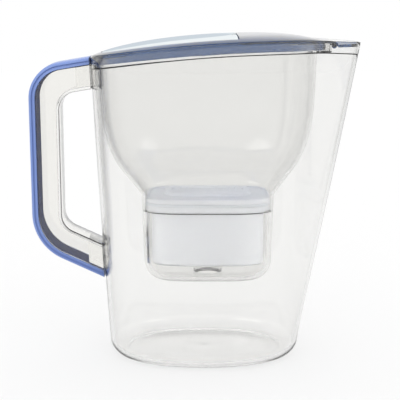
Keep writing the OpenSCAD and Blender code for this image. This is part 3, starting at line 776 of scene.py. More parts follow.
class HandleEdges:
    """Side views of the handle's edges, from the upper end to the lower end"""

    def __init__(self, o, steps=20):
        self.o = o
        self.h = o.handle
        self.steps = np.linspace(0, 1, steps)
        self.top_z = float(o.rim_z(-o.half_l(o.jug.rim_top_z))) - self.h.drop

    def wall_face(self, z):
        return -self.o.half_l(z) - self.o.fits.rest_gap

    def upper_z(self, x, depth):
        up = math.tan(self.h.upper_slope) * (x + self.o.half_l(self.top_z))
        return self.top_z - depth / math.cos(self.h.upper_slope) + up

    def lower_z(self, x, depth):
        up = math.tan(self.h.lower_slope) * (x + self.o.half_l(self.h.low_z))
        return self.h.low_z + depth / math.cos(self.h.lower_slope) - up

    def edge(self, upper, upright, lower, upper_r, lower_r, straight=8):
        """Side view at these depths in the upper arm, the upright and the lower arm"""
        h = self.h
        top_x = self.wall_face(self.top_z - upper)
        low_x = self.wall_face(h.low_z + lower)
        x = upright - h.reach
        quarter = math.pi / 2
        top = np.array([x + upper_r,
                        self.upper_z(x, upper) - upper_r * math.tan((quarter - h.upper_slope) / 2)])
        low = np.array([x + lower_r,
                        self.lower_z(x, lower) + lower_r * math.tan((quarter - h.lower_slope) / 2)])
        first = quarter + h.upper_slope
        last = 3 * quarter - h.lower_slope
        upper_arc = self.arc(top, upper_r, first, math.pi)
        lower_arc = self.arc(low, lower_r, math.pi, last)
        ends = [np.array([[top_x, self.upper_z(top_x, upper)]]),
                np.array([[low_x, self.lower_z(low_x, lower)]])]
        runs = np.linspace(0, 1, straight, endpoint=False)[:, None]
        upper_run = ends[0] + (upper_arc[0] - ends[0]) * runs
        upright_run = upper_arc[-1] + (lower_arc[0] - upper_arc[-1]) * runs[1:]
        lower_run = lower_arc[-1] + (ends[1] - lower_arc[-1]) * runs[1:]
        return np.vstack([upper_run, upper_arc, upright_run, lower_arc, lower_run, ends[1]])

    def arc(self, centre, r, start, stop):
        turn = start + (stop - start) * self.steps
        return centre + r * np.column_stack([np.cos(turn), np.sin(turn)])

    def grip(self, depth):
        """Edge at a depth below the grip's outer face"""
        h = self.h
        return self.edge(depth, depth, depth, h.upper_corner_r - depth, h.lower_corner_r - depth)

    def finger(self, wall):
        """Edge at a depth behind the frame's face towards the fingers"""
        h = self.h
        corner_r = h.finger_corner_r + wall
        return self.edge(
            h.grip_t + h.upper_depth - wall, h.grip_t + h.frame_depth - wall,
            h.grip_t + h.lower_depth - wall, corner_r, corner_r)


def sweep(edges_and_sides):
    """Rings through matching side-view edges, each at its own distance across the handle"""
    count = len(edges_and_sides[0][0])
    rings = []
    for k in range(count):
        rings.append(np.array([[edge[k, 0], y, edge[k, 1]] for edge, y in edges_and_sides]))
    return skin(rings)


def grip_shape(edges):
    h = edges.h
    half = h.grip_w / 2
    r = h.grip_edge_r
    crown = 0.5 * MM
    bends = np.radians(np.linspace(0, 90, 7))
    section = []
    for bend in bends[::-1]:
        section.append((crown + r * (1 - math.sin(bend)), -half + r * (1 - math.cos(bend))))
    for y in np.linspace(-half + 2 * r, half - 2 * r, 9):
        section.append((crown * (y / (half - r)) ** 2, y))
    for bend in bends:
        section.append((crown + r * (1 - math.sin(bend)), half - r * (1 - math.cos(bend))))
    soft = 0.4 * MM
    rib = h.rib_w / 2
    deep = h.grip_t + h.rib_depth
    under = [(h.grip_t - soft, half), (h.grip_t, half - soft), (h.grip_t, rib),
             (deep - soft, rib), (deep, rib - soft)]
    section += under + [(depth, -y) for depth, y in under[::-1]]
    return sweep([(edges.grip(depth), y) for depth, y in section])


def frame_shape(edges):
    h = edges.h
    outer = edges.grip(h.grip_t + edges.o.fits.snap_gap)
    finger = edges.finger(0.0)
    channel = edges.finger(h.frame_wall)
    half = h.frame_w / 2
    inside = half - h.frame_wall
    r = 1.6 * MM
    inner_r = 0.8 * MM
    bends = np.radians(np.linspace(0, 90, 6))
    inward = unit(finger - outer)
    section = []
    for edge, start_y, corner_r in ((finger, -half, r), (channel, inside, inner_r)):
        section.append((outer, start_y))
        for turn, y in ((bends, start_y), (bends[::-1], -start_y)):
            for bend in turn:
                back = math.copysign(corner_r * (1 - math.cos(bend)), y)
                section.append((edge - inward * corner_r * (1 - math.sin(bend)), y - back))
        section.append((outer, -start_y))
    return sweep(section)


def lug_shapes(edges):
    """The jug's two lugs that fill the ends of the frame's channel"""
    h = edges.h
    fits = edges.o.fits
    outer = edges.grip(h.grip_t + h.rib_depth + fits.lift_gap)
    inner = edges.finger(h.frame_wall + fits.lift_gap)
    half = h.rib_w / 2
    shapes = []
    for order in (slice(None), slice(None, None, -1)):
        top, bottom = outer[order], inner[order]
        ends = []
        for line in (top, bottom):
            start = line[0]
            along = unit(line[1] - line[0])
            out = start + along * h.lug_reach / abs(along[0])
            ends.append((start, out))
        rings = []
        for k in (0, 1):
            a, b = ends[0][k], ends[1][k]
            rings.append(np.array([[a[0], -half, a[1]], [a[0], half, a[1]],
                                   [b[0], half, b[1]], [b[0], -half, b[1]]]))
        shapes.append(skin(rings))
    return shapes


# Funnel


# Side view of the chamber's shoulder: share of its height, share of its width
SHOULDER = ((0, 0), (0.03, 0.05), (0.1, 0.18), (0.19, 0.37), (0.29, 0.57), (0.41, 0.73),
            (0.56, 0.85), (0.74, 0.93), (1, 0.98))


def funnel_shape(o, count=240):
    f, jug, fits = o.funnel, o.jug, o.fits
    turn = turns(count)
    rim = o.rim_at(turn)
    band_low = jug.ledge_drop - fits.rest_gap
    band_top = o.lid.top_t + fits.rest_gap
    seat_z = o.cartridge.cap_low_z - fits.rest_gap
    ref_z = jug.rim_top_z - f.shoulder_drop
    back_x = -o.half_l(ref_z) + jug.wall + f.chamber_back_gap
    front_x = f.nose_x - f.chamber_setback
    well_power = o.cartridge.power
    chamber = np.array([(front_x + back_x) / 2, (front_x - back_x) / 2,
                        o.half_w(ref_z) - jug.wall - f.chamber_side_gap, jug.oval_power])
    mouth = np.array([f.well_x, f.well_half_l, f.well_half_w, well_power])
    bottom = mouth - [0, f.well_taper, f.well_taper, 0]

    def well_row(z):
        s = (z - f.well_floor_z) / (f.well_top_z - f.well_floor_z)
        return np.concatenate([[z], bottom + (mouth - bottom) * s])

    rows = []
    for bend in np.radians(np.linspace(0, 90, 13))[:-1]:
        row = well_row(f.well_floor_z + f.well_fillet * (1 - math.cos(bend)))
        back = f.well_fillet * (1 - math.sin(bend))
        rows.append(row - [0, 0, back, back, 0])
    low_z = f.well_floor_z + f.well_fillet
    rows += [well_row(z) for z in np.linspace(low_z, seat_z - f.seat_slope, 8)]
    seat_row = len(rows)
    rows += [well_row(z) for z in (seat_z, (seat_z + f.well_top_z) / 2, f.well_top_z)]
    for up, out in smooth_through(SHOULDER, 4)[1:]:
        z = f.well_top_z + (ref_z - f.well_top_z) * up
        rows.append(np.concatenate([[z], mouth + (chamber - mouth) * out]))
    rows = np.array(rows)

    def ring(row, z=None):
        return lift(o.oval(turn, row[1], row[2], row[3], row[4]), row[0] if z is None else z)

    def inset(k, distance):
        before, after = rows[max(0, k - 1)], rows[min(len(rows) - 1, k + 1)]
        along = unit(np.array([after[0] - before[0], after[2] - before[2]]))
        move = np.array([along[1], 0, -along[0], -along[0], 0]) * distance
        return rows[k] + move

    soft = 0.5 * MM
    top_row = np.concatenate([[0], chamber])
    inner_top = top_row - [0, 0, f.wall, f.wall, 0]
    outlet = o.oval(turn, f.well_x, f.outlet_half_l, f.outlet_half_w, 2)
    collar = o.oval(turn, f.well_x, f.outlet_half_l + f.wall, f.outlet_half_w + f.wall, 2)
    floor_z = f.well_floor_z + f.wall + f.seat_step
    rings = [lift(outlet, f.well_floor_z)]
    rings += [ring(row) for row in rows]
    rings.append(ring(top_row, rim - band_low))
    inset_out = jug.rim_wall + fits.lift_gap
    for drop, step in ((band_low, soft), (band_low - soft, 0),
                       (band_top + soft, 0), (band_top, soft)):
        rings.append(lift(o.mouth(turn, drop, inset_out + step, f.nose_x - step), rim - drop))
    for drop, step in ((band_top, soft), (band_top + soft, 0), (band_low - f.ledge_t, 0)):
        back = f.wall - step
        rings.append(lift(o.mouth(turn, drop, inset_out + back, f.nose_x - back), rim - drop))
    rings.append(ring(inner_top, rim - band_low + f.ledge_t))
    rings += [ring(inset(k, f.wall)) for k in range(len(rows) - 1, seat_row - 1, -1)]
    rings += [ring(inset(k, f.wall + f.seat_step)) for k in range(seat_row - 1, -1, -1)]
    rings.append(lift(collar, floor_z))
    rings.append(lift(collar, floor_z + f.collar_h))
    rings.append(lift(outlet, floor_z + f.collar_h))
    return skin(rings, wrap=True)


# Cartridge


def oval_rings(o, rows, count=216):
    """Rings of the cartridge's outline from rows of half length, half width and height"""
    turn = even_turns(count)
    return [lift(o.oval(turn, o.funnel.well_x, a, b, o.cartridge.power), z) for a, b, z in rows]


def rounded(a, b, z, r, up, steps=6):
    """Rows of a round edge: from the side towards the top when up is 1, or bottom when -1"""
    rows = []
    for bend in np.radians(np.linspace(0, 90, steps)):
        back = r * (1 - math.cos(bend))
        rows.append((a - back, b - back, z + up * (r * math.sin(bend) - r)))
    return rows


TINY = (0.5 * MM, 0.3 * MM)  # innermost ring of a closed face


def shrunk(a, b, back, *heights):
    """Rows moved in by the same distance all round"""
    return [(a - back, b - back, z) for z in heights]


def cup_shape(o):
    c = o.cartridge
    a, b = c.cap_half_l - c.cup_setback, c.cap_half_w - c.cup_setback
    top = c.cap_low_z + c.band_h - c.wall - o.fits.snap_gap
    edge_r = 3 * MM
    rows = [(*TINY, c.cup_low_z), (c.slot_l, c.slot_l / 2, c.cup_low_z)]
    rows += rounded(a, b, c.cup_low_z, edge_r, -1)[::-1]
    rows += [(a, b, top)] + shrunk(a, b, c.wall, top, c.cup_low_z + c.wall)
    rows.append((*TINY, c.cup_low_z + c.wall))
    return skin(oval_rings(o, rows))


def cap_shape(o):
    c = o.cartridge
    a, b = c.cap_half_l, c.cap_half_w
    crown_a, crown_b = c.crown_half_l, c.crown_half_w
    top = c.cap_low_z + c.band_h
    crown = top + c.crown_h
    inner = c.cup_setback - o.fits.snap_gap
    edge_r, crown_edge_r, low_edge_r = 1.4 * MM, 2 * MM, 0.6 * MM
    groove_in, groove_half = 1.2 * MM, 1.2 * MM + o.fits.snap_gap
    groove_z = c.cap_low_z + c.band_h / 2
    skirt_out, skirt_up = 0.5 * MM, 0.2 * MM
    recess, bank = 0.9 * MM, 5.5 * MM
    recess_in, rim_in = 3.4 * MM, 2.6 * MM
    window = (c.slot_l + 8 * MM, c.slot_l / 2 + 1 * MM)
    dip = 0.6 * MM
    rows = [(*TINY, crown - dip), (*window, crown - dip), (*window, crown)]
    rows += rounded(crown_a, crown_b, crown, crown_edge_r, 1)[::-1]
    rows += shrunk(crown_a, crown_b, -skirt_out, top + skirt_up)
    rows += shrunk(crown_a, crown_b, -bank, top - recess)
    rows += shrunk(a, b, recess_in, top - recess) + shrunk(a, b, rim_in, top)
    rows += rounded(a, b, top, edge_r, 1)[::-1]
    rows += [(a, b, groove_z + groove_half)]
    rows += shrunk(a, b, groove_in, groove_z + groove_half, groove_z - groove_half)
    rows += [(a, b, groove_z - groove_half)]
    rows += rounded(a, b, c.cap_low_z, low_edge_r, -1, 4)
    rows += shrunk(a, b, inner, c.cap_low_z, c.cap_low_z + c.wall)
    rows += shrunk(a, b, c.wall, c.cap_low_z + c.wall, top - c.wall)
    rows += shrunk(crown_a, crown_b, c.wall, top - c.wall, crown - c.wall)
    rows.append((*TINY, crown - c.wall))
    return skin(oval_rings(o, rows))


def seal_shape(o):
    c = o.cartridge
    stand = 0.35 * MM
    r = 1.2 * MM
    depth = 1.1 * MM
    middle_z = c.cap_low_z + c.band_h / 2
    rows = shrunk(c.cap_half_l, c.cap_half_w, depth, middle_z - r, middle_z + r)
    for bend in np.radians([60, 30, 0, -30, -60]):
        out = stand * math.cos(bend)
        rows.append((c.cap_half_l + out, c.cap_half_w + out, middle_z + r * math.sin(bend)))
    return skin(oval_rings(o, rows), wrap=True)


class Grower:
    """A geometry node tree with named inputs, whose result is made real and given its material"""

    def __init__(self, name, count, sizes, places=()):
        self.tree = bpy.data.node_groups.new(name, "GeometryNodeTree")
        interface = self.tree.interface
        inputs = {"Geometry": "Geometry", count: "Int"}
        inputs.update({label: "Float" for label in sizes} | {label: "Vector" for label in places})
        inputs["Material"] = "Material"
        for label, kind in inputs.items():
            interface.new_socket(label, in_out="INPUT", socket_type="NodeSocket" + kind)
        interface.new_socket("Geometry", in_out="OUTPUT", socket_type="NodeSocketGeometry")
        self.maker = Maker(self.tree)
        group = self.tree.nodes.new("NodeGroupInput")
        self.value = {label: Value(self.maker, group.outputs[label]) for label in inputs}

    def vector(self, **parts):
        return self.maker.node(
            "ShaderNodeCombineXYZ", {}, {label.upper(): part for label, part in parts.items()})

    def row(self, count, pitch, along, start=None):
        """Points in a row along one axis, centred"""
        first = self.vector(**{along: (count - 1.0) * pitch * -0.5})
        if start:
            first = self.maker.node(
                "ShaderNodeVectorMath", {"operation": "ADD"}, {0: start, 1: first})
        return self.maker.node("GeometryNodeMeshLine", {}, {
            "Count": count, "Start Location": first, "Offset": self.vector(**{along: pitch})})

    def placed(self, points, shape):
        copies = self.maker.node(
            "GeometryNodeInstanceOnPoints", {}, {"Points": points, "Instance": shape})
        return self.maker.node("GeometryNodeRealizeInstances", {}, {0: copies})

    def finish(self, shape):
        painted = self.maker.node(
            "GeometryNodeSetMaterial", {}, {0: shape, 2: self.value["Material"]})
        self.maker.node("NodeGroupOutput", {}, {0: painted})
        return self.tree


def slat_tree(name):
    """Slats in a row along X"""
    g = Grower(name, "Slats", ("Pitch", "Slat width", "Slat length", "Slat height"), ("Middle",))
    size = g.vector(x=g.value["Slat width"], y=g.value["Slat length"], z=g.value["Slat height"])
    slat = g.maker.node("GeometryNodeMeshCube", {}, {"Size": size})
    row = g.row(g.value["Slats"], g.value["Pitch"], "x", g.value["Middle"])
    return g.finish(g.placed(row, slat))


def line_tree(name):
    """Round lines side by side along a path"""
    g = Grower(name, "Lines", ("Pitch", "Line radius"))
    path = g.maker.node("GeometryNodeMeshToCurve", {}, {0: g.value["Geometry"]})
    paths = g.placed(g.row(g.value["Lines"], g.value["Pitch"], "y"), path)
    section = g.maker.node("GeometryNodeCurvePrimitiveCircle", {}, {
        "Resolution": 8, "Radius": g.value["Line radius"]})
    return g.finish(g.maker.node("GeometryNodeCurveToMesh", {}, {
        "Curve": paths, "Profile Curve": section, "Fill Caps": True}))


def grown_by(tree, name, mesh, inputs):
    """A plain mesh piece made by a node tree with these inputs"""
    piece = add_object(name, mesh)
    modifier = piece.modifiers.new(tree.name, "NODES")
    modifier.node_group = tree
    for item in tree.interface.items_tree:
        if item.in_out == "INPUT" and item.name in inputs:
            modifier[item.identifier] = inputs[item.name]
    apply_modifiers(piece)
    return piece


# Lid and flaps


def flap_outline(o, turn, gap, front_x):
    lid, jug, fits = o.lid, o.jug, o.fits
    skirt_in = jug.rim_wall + o.funnel.wall + 2 * fits.lift_gap + lid.skirt_t
    back_x = -o.half_l(jug.rim_top_z) + skirt_in + lid.flap_back_rim
    half_w = o.half_w(jug.rim_top_z) - skirt_in - lid.flap_side_rim
    end_x = lid.flap_hinge_x + lid.flap_round
    points = o.oval(turn, (end_x + back_x) / 2, (end_x - back_x) / 2 + gap, half_w + gap)
    points[:, 0] = np.minimum(points[:, 0], front_x)
    return points, (end_x + back_x) / 2


def flap_axis(o):
    lid = o.lid
    top = o.lid_z(np.array([[lid.flap_hinge_x, 0.0]]))[0]
    return lid.flap_hinge_x, float(top) - lid.flap_axis_drop


def spout_axis(o):
    lid = o.lid
    x = o.funnel.nose_x + lid.plate_over_nose + lid.spout_axis_over
    return x, float(o.rim_z(o.funnel.nose_x)) - lid.spout_drop - lid.spout_t / 2


def lid_shape(o, count=240):
    lid, jug, fits, funnel = o.lid, o.jug, o.fits, o.funnel
    turn = turns(count)
    plate_inset = jug.rim_wall + fits.lift_gap
    skirt_inset = plate_inset + funnel.wall + fits.lift_gap
    plate_nose = funnel.nose_x + lid.plate_over_nose
    skirt_nose = funnel.nose_x - lid.skirt_setback
    skirt_drop = jug.ledge_drop - fits.rest_gap - funnel.ledge_t - lid.skirt_clear
    front_x = lid.flap_hinge_x + lid.barrel_r + lid.opening_gap
    opening = flap_outline(o, turn, lid.opening_gap, front_x)[0]

    def sheet(points, drop):
        return lift(points, o.lid_z(points) - drop)

    def mouth(drop, back, nose):
        return o.mouth(turn, drop, back, nose)

    soft = 0.5 * MM
    skirt_low = mouth(skirt_drop, skirt_inset, skirt_nose)
    skirt_in_low = mouth(skirt_drop, skirt_inset + lid.skirt_t, skirt_nose - lid.skirt_t)
    skirt_in = mouth(lid.top_t, skirt_inset + lid.skirt_t, skirt_nose - lid.skirt_t)
    rings = []
    rings.append(lift(skirt_in_low, o.rim_z(skirt_in_low[:, 0]) - skirt_drop))
    rings.append(lift(skirt_low, o.rim_z(skirt_low[:, 0]) - skirt_drop))
    rings.append(sheet(mouth(lid.top_t, skirt_inset, skirt_nose), lid.top_t))
    rings.append(sheet(mouth(lid.top_t, plate_inset + soft, plate_nose - soft), lid.top_t))
    for drop, step in ((lid.top_t - soft, 0), (soft, 0), (0.3 * soft, 0.3 * soft)):
        rings.append(sheet(mouth(drop, plate_inset + step, plate_nose - step), drop))
    opening_soft = 0.15 * MM
    steps = np.linspace(1, 0, 13)
    inner_edge = mouth(0, plate_inset + soft, plate_nose - soft)
    for s in steps:
        points = opening + (inner_edge - opening) * s
        rings.append(sheet(points, 0 if s > 0 else opening_soft))
    for s in steps[::-1]:
        points = opening + (skirt_in - opening) * s
        rings.append(sheet(points, lid.top_t))
    return skin(rings, wrap=True)


def flap_shape(o, count=180):
    lid = o.lid
    turn = even_turns(count)
    front_back = 0.3 * MM
    outline, mid_x = flap_outline(o, turn, 0, lid.flap_hinge_x + lid.barrel_r - front_back)
    middle = np.array([mid_x, 0.0])
    soft = 0.45 * MM

    def sheet(s, drop):
        points = middle + (outline - middle) * s
        return lift(points, o.lid_z(points) - drop)

    steps = np.concatenate([[0.01], np.linspace(0.1, 0.9, 9), [0.96]])
    rim = 1 - soft / o.half_w(o.jug.rim_top_z)
    rings = [sheet(s, lid.top_t) for s in steps]
    rings += [sheet(rim, lid.top_t), sheet(1, lid.top_t - soft), sheet(1, soft), sheet(rim, 0)]
    rings += [sheet(s, 0) for s in steps[::-1]]
    return skin(rings)


# Operators


FLOOR_TONE = (0.56, 0.56, 0.56, 1)
WHITE = (1, 1, 1, 1)
FLOOR_GLOW = 1.05  # strength of the floor's own white
FLOOR_GLOW_SHARE = 0.7  # how much of the floor is that white; the rest takes the shadow
# Two soft boxes seen in the gloss: towards, cosine at the edge, cosine where full, strength
SOFTBOXES = (((-0.55, -0.62, 0.56), 0.93, 0.985, 2.0), ((0.62, -0.6, 0.5), 0.95, 0.99, 1.5))
OUTER_WALLS = 4.0  # clear surfaces in front of the cartridge, passed again by the light on it


class PITCHER_OT_stage(bpy.types.Operator):
    """Camera, floor and the light from all round"""

    bl_idname = "pitcher.make_stage"
    bl_label = "Stage"

    def execute(self, context):
        studio = context.scene.pitcher_studio
        self.add_camera(context, studio)
        self.add_floor(context, studio)
        self.add_world(context, studio)
        context.scene.view_settings.view_transform = "Standard"
        return {"FINISHED"}

    def add_camera(self, context, studio):
        data = bpy.data.cameras.new("camera")
        data.lens = studio.lens
        data.sensor_width = 36.0
        data.clip_start = 0.01
        camera = add_object("camera", data)
        camera.location = (studio.camera_x, studio.camera_y, studio.camera_z)
        camera.rotation_euler = (math.pi / 2 - studio.tilt, 0, 0)
        context.scene.camera = camera

    def add_floor(self, context, studio):
        half = studio.floor_size / 2
        below = 0.05 * MM
        corners = [(-half, -half, -below), (half, -half, -below), (half, half, -below),
                   (-half, half, -below)]
        mesh = bpy.data.meshes.new("floor")
        mesh.from_pydata(corners, [], [(0, 1, 2, 3)])
        floor = add_object("floor", mesh)
        material, maker = new_material("floor")
        matte = maker.node("ShaderNodeBsdfDiffuse", {}, {"Color": FLOOR_TONE})
        white = maker.node("ShaderNodeEmission", {}, {"Color": WHITE, "Strength": FLOOR_GLOW})
        mixed = maker.node("ShaderNodeMixShader", {}, {0: FLOOR_GLOW_SHARE, 1: matte, 2: white})
        maker.node("ShaderNodeOutputMaterial", {}, {"Surface": mixed})
        mesh.materials.append(material)

    def add_world(self, context, studio):
        world = bpy.data.worlds.new("studio")
        world.use_nodes = True
        context.scene.world = world
        maker = Maker(world.node_tree)
        direction = maker.node("ShaderNodeTexCoord", out=0)
        up = maker.node("ShaderNodeSeparateXYZ", {}, {0: direction}, out=2)
        light_path = maker.node("ShaderNodeLightPath").socket.node.outputs
        names = ("Is Camera Ray", "Is Glossy Ray", "Is Transmission Ray", "Diffuse Depth",
                 "Transmission Depth")
        camera_ray, glossy_ray, through_ray, diffuse_depth, surfaces = (
            Value(maker, light_path[name]) for name in names)
        bounced = diffuse_depth.clamped()
        mirrored = (glossy_ray + through_ray).clamped() * (1.0 - bounced)
        seen = (camera_ray + mirrored).clamped()
        first, second = (self.softbox(maker, direction, *box) for box in SOFTBOXES)
        # The sky is darkest below the horizon and full a little above it
        shade = (up * 2.0 + 0.6).clamped() * 0.35 + 0.65
        walls = (surfaces - OUTER_WALLS) / OUTER_WALLS
        inner = bounced * through_ray * walls.clamped() * studio.inner_light
        plain = shade * studio.ambient * (1.0 + inner)
        level = plain + (1.0 - plain) * seen + (first + second) * mirrored
        light = maker.node("ShaderNodeBackground", {}, {"Color": WHITE, "Strength": level})
        maker.node("ShaderNodeOutputWorld", {}, {"Surface": light})

    @staticmethod
    def softbox(maker, direction, centre, start, full, strength):
        size = math.sqrt(sum(c * c for c in centre))
        towards = maker.node("ShaderNodeVectorMath", {"operation": "DOT_PRODUCT"}, {
            0: direction, 1: tuple(c / size for c in centre)}, out=1)
        return smooth_step(maker, towards, start, full) * strength


class PITCHER_OT_jug(bpy.types.Operator):
    """Clear jug with its spout and handle lugs"""

    bl_idname = "pitcher.make_jug"
    bl_label = "Jug"

    def execute(self, context):
        o = Outlines(context.scene)
        colours = context.scene.pitcher_colours
        material = clear_material("clear_jug", colours.clear, colours.clear_edge_shade, ridge=True)
        shell = make_piece("jug_shell", jug_shape(o), material)
        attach(shell, "jug_body")
        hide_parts("jug")
        lugs = make_piece("jug_lugs", joined(*lug_shapes(HandleEdges(o))), material)
        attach(lugs, "jug_body")
        return {"FINISHED"}


class PITCHER_OT_handle(bpy.types.Operator):
    """Clear handle frame with its blue grip strip"""

    bl_idname = "pitcher.make_handle"
    bl_label = "Handle"

    def execute(self, context):
        o = Outlines(context.scene)
        colours = context.scene.pitcher_colours
        edges = HandleEdges(o)
        clear = clear_material("clear_frame", colours.frame, colours.frame_edge_shade)
        shell = make_piece("frame_shell", frame_shape(edges), clear)
        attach(shell, "jug_body")
        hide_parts("handle_frame")
        satin = grip_material("grip_satin", colours.grip, edges.h.grip_w / 2)
        # Painted shade: the grip's blue darkened, for its side in the channel and the fine lines
        under = satin_material("grip_under_shade", colours.grip_under_shade, 0.35, gloss=0.15)
        strip = make_piece("grip_strip", grip_shape(edges), satin)
        strip.data.materials.append(under)
        self.paint_underside_shade(strip, edges)
        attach(strip, "jug_body")
        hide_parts("handle_grip")
        lines = self.grow_lines(edges, under)
        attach(lines, "jug_body")
        return {"FINISHED"}

    def paint_underside_shade(self, strip, edges):
        """The faces of the rib and of the side towards the frame get the darker blue of painted
        shade
        """
        h = edges.h
        rail = edges.grip(h.grip_t / 2)
        start = edges.grip(0.0)
        inward = unit(rail - start)
        for face in strip.data.polygons:
            centre = np.array([face.center.x, face.center.z])
            k = int(np.argmin(np.linalg.norm(rail - centre, axis=1)))
            depth = float(np.dot(centre - start[k], inward[k]))
            if depth > h.grip_t - 0.1 * MM:
                face.material_index = 1

    def grow_lines(self, edges, material):
        h = edges.h
        path = edges.grip(h.grip_t + h.rib_depth)[1:-1]
        mesh = bpy.data.meshes.new("line_path")
        steps = [(k, k + 1) for k in range(len(path) - 1)]
        mesh.from_pydata([(x, 0, z) for x, z in path], steps, [])
        piece = grown_by(line_tree("grip_lines"), "grip_lines", mesh, {
            "Lines": h.lines, "Pitch": h.line_pitch, "Line radius": h.line_r, "Material": material})
        piece.data.shade_smooth()
        return piece


class PITCHER_OT_funnel(bpy.types.Operator):
    """Clear funnel with its cartridge well"""

    bl_idname = "pitcher.make_funnel"
    bl_label = "Funnel"

    def execute(self, context):
        o = Outlines(context.scene)
        colours = context.scene.pitcher_colours
        material = clear_material("clear_funnel", colours.clear, colours.clear_edge_shade)
        shell = make_piece("funnel_shell", funnel_shape(o), material)
        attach(shell, "funnel_body")
        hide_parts("funnel")
        return {"FINISHED"}


class PITCHER_OT_cartridge(bpy.types.Operator):
    """Filter cartridge with its cap, cup, seal, slats, screens and beds"""

    bl_idname = "pitcher.make_cartridge"
    bl_label = "Cartridge"

    def execute(self, context):
        o = Outlines(context.scene)
        colours = context.scene.pitcher_colours
        white = cartridge_material("cartridge_white", colours.cartridge)
        rubber = satin_material("seal_rubber", colours.seal, 0.5)
        for name, shape, node, slot, material in (
                ("cup_shell", cup_shape(o), "cartridge_cup", "white_plastic", white),
                ("cap_shell", cap_shape(o), "cartridge_cap", "white_plastic", white),
                ("seal_ring", seal_shape(o), "cartridge_seal", "seal_rubber", rubber)):
            piece = make_piece(name, shape, material, 35.0)
            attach(piece, "cartridge")
            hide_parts(node)
        slats = self.grow_slats(o, white)
        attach(slats, "cartridge")
        fleece = fleece_material("screen_fleece", colours.fleece)
        self.dress("inlet_screen", fleece)
        self.dress("outlet_screen", fleece)
        self.dress("carbon_granules", grain_material("carbon_grains", colours.carbon, 900.0, 0.4))
        self.dress("resin_beads", grain_material("resin_spheres", colours.resin, 1300.0, 0.15))
        return {"FINISHED"}

    @staticmethod
    def dress(node, material):
        for slot in frame["nodes"][node].material_slots:
            slot.material = material

    def grow_slats(self, o, material):
        c = o.cartridge
        crown = c.cap_low_z + c.band_h + c.crown_h
        height, width, short = 0.6 * MM, 3.6 * MM, 1.0 * MM
        mesh = bpy.data.meshes.new("slats")
        return grown_by(slat_tree("inlet_slats"), "inlet_slats", mesh, {
            "Slats": c.slats, "Pitch": c.slat_pitch, "Slat width": width,
            "Slat length": c.slot_l - short, "Slat height": height,
            "Middle": (o.funnel.well_x, 0.0, crown - height / 2), "Material": material})


class PITCHER_OT_lid(bpy.types.Operator):
    """See-through blue lid with its skirt and hinge lugs"""

    bl_idname = "pitcher.make_lid"
    bl_label = "Lid"

    def execute(self, context):
        o = Outlines(context.scene)
        colours = context.scene.pitcher_colours
        material = clear_material("blue_clear", colours.lid, colours.lid_edge_shade, 0.04)
        top = make_piece("lid_top", lid_shape(o), material)
        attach(top, "lid")
        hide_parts("lid_shell")
        lugs = make_piece("lid_lugs", joined(*self.lug_shapes(o)), material)
        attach(lugs, "lid")
        return {"FINISHED"}

    def lug_shapes(self, o):
        lid = o.lid
        x, z = flap_axis(o)
        front_x = lid.flap_hinge_x + lid.barrel_r + lid.opening_gap
        gap, slot = 0.05 * MM, 0.5 * MM
        reach = lid.barrel_r + lid.lug_stand
        near = lid.barrel_l + lid.lug_gap
        shapes = []
        for low_y, high_y in both_sides(near, near + lid.lug_w):
            shapes.append(box_shape((x - reach, low_y, z - reach), (
                front_x - gap, high_y, z + lid.flap_axis_drop - lid.lug_stand)))
        x, z = spout_axis(o)
        reach = lid.spout_barrel_r + lid.lug_stand
        near = lid.spout_barrel_l + lid.lug_gap
        top = float(o.rim_z(o.funnel.nose_x)) - lid.top_t
        for low_y, high_y in both_sides(near, near + lid.lug_w):
            shapes.append(rod_shape(x, z, reach, low_y, high_y))
            shapes.append(box_shape((x - reach, low_y, z), (x - slot, high_y, top)))
        return shapes


PIN_BACK = 0.2 * MM  # how far a pin ends inside its lug


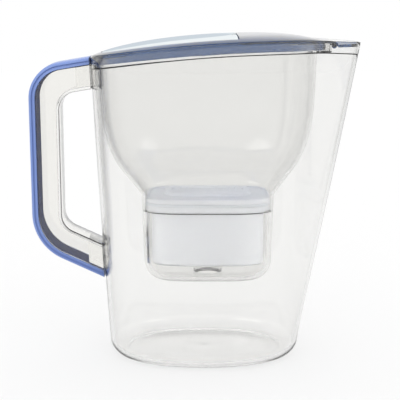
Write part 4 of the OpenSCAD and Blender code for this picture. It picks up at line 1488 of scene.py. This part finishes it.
class PITCHER_OT_flaps(bpy.types.Operator):
    """Flip flap over the fill opening and flap over the spout"""

    bl_idname = "pitcher.make_flaps"
    bl_label = "Flaps"

    def execute(self, context):
        o = Outlines(context.scene)
        colours = context.scene.pitcher_colours
        frosted = flap_material("frosted_flap", colours.flap, colours.flap_middle_reflection)
        flap = make_piece("flap_lens", flap_shape(o), frosted)
        lid = o.lid
        x, z = flap_axis(o)
        back = lid.barrel_r + lid.lug_stand + lid.opening_gap
        notch = 5 * MM
        far = lid.barrel_l + lid.lug_w + 2 * lid.lug_gap
        notches = [box_shape((x - back, low_y, z - notch), (x + back, high_y, z + notch))
                   for low_y, high_y in both_sides(lid.barrel_l, far)]
        combine(flap, "DIFFERENCE", notches)
        end = lid.barrel_l + lid.lug_gap + lid.lug_w - PIN_BACK
        barrel = rod_shape(x, z, lid.barrel_r, -lid.barrel_l, lid.barrel_l)
        combine(flap, "UNION", [barrel, rod_shape(x, z, lid.pin_r, -end, end)])
        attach(flap, "filling_flap")
        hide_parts("flip_flap")
        blue = clear_material("blue_spout_flap", colours.lid, colours.lid_edge_shade, 0.03)
        blade = make_piece("spout_blade", self.blade_shape(o), blue)
        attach(blade, "pouring_flap")
        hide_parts("spout_flap")
        return {"FINISHED"}

    def blade_shape(self, o):
        lid, jug = o.lid, o.jug
        x, z = spout_axis(o)
        top = z + lid.spout_t / 2
        neck = 3 * MM
        root_x = x + neck
        half_l = lid.spout_barrel_l
        spread = math.radians(10)
        turn = np.linspace(-spread, spread, 41)
        outline = o.jug_inset(turn, top, jug.rim_wall + lid.spout_clear)
        outline[:, 0] = np.maximum(outline[:, 0], root_x)
        root = np.array([[root_x, half_l], [x, half_l], [x, -half_l], [root_x, -half_l]])
        plan = np.vstack([outline, root])
        blade = skin([lift(plan, top - lid.spout_t), lift(plan, top)])
        end = lid.spout_barrel_l + lid.lug_gap + lid.lug_w - PIN_BACK
        return joined(
            blade, rod_shape(x, z, lid.spout_barrel_r, -half_l, half_l),
            rod_shape(x, z, lid.spout_pin_r, -end, end))


class PITCHER_PT_panel(bpy.types.Panel):
    """Lists the pitcher's pieces"""

    bl_idname = "PITCHER_PT_panel"
    bl_label = "Pitcher"
    bl_space_type = "VIEW_3D"
    bl_region_type = "UI"
    bl_category = "Pitcher"

    def draw(self, context):
        for operator in OPERATORS:
            self.layout.operator(operator.bl_idname)
        for name in GROUPS:
            box = self.layout.box()
            group = getattr(context.scene, name)
            for key in group.bl_rna.properties.keys():
                if key not in ("rna_type", "name"):
                    box.prop(group, key)


GROUPS = {
    "pitcher_jug": PitcherJugSizes,
    "pitcher_handle": PitcherHandleSizes,
    "pitcher_funnel": PitcherFunnelSizes,
    "pitcher_cartridge": PitcherCartridgeSizes,
    "pitcher_lid": PitcherLidSizes,
    "pitcher_fits": PitcherFits,
    "pitcher_colours": PitcherColours,
    "pitcher_studio": PitcherStudio,
}
OPERATORS = (PITCHER_OT_stage, PITCHER_OT_jug, PITCHER_OT_handle, PITCHER_OT_funnel,
             PITCHER_OT_cartridge, PITCHER_OT_lid, PITCHER_OT_flaps)


def register():
    for name, group in GROUPS.items():
        bpy.utils.register_class(group)
        setattr(bpy.types.Scene, name, PointerProperty(type=group))
    for operator in OPERATORS:
        bpy.utils.register_class(operator)
    bpy.utils.register_class(PITCHER_PT_panel)


def unregister():
    bpy.utils.unregister_class(PITCHER_PT_panel)
    for operator in reversed(OPERATORS):
        bpy.utils.unregister_class(operator)
    for name, group in reversed(list(GROUPS.items())):
        delattr(bpy.types.Scene, name)
        bpy.utils.unregister_class(group)


def main():
    register()
    bpy.ops.pitcher.make_stage()
    bpy.ops.pitcher.make_jug()
    bpy.ops.pitcher.make_handle()
    bpy.ops.pitcher.make_funnel()
    bpy.ops.pitcher.make_cartridge()
    bpy.ops.pitcher.make_lid()
    bpy.ops.pitcher.make_flaps()


if __name__ == "__main__":
    main()
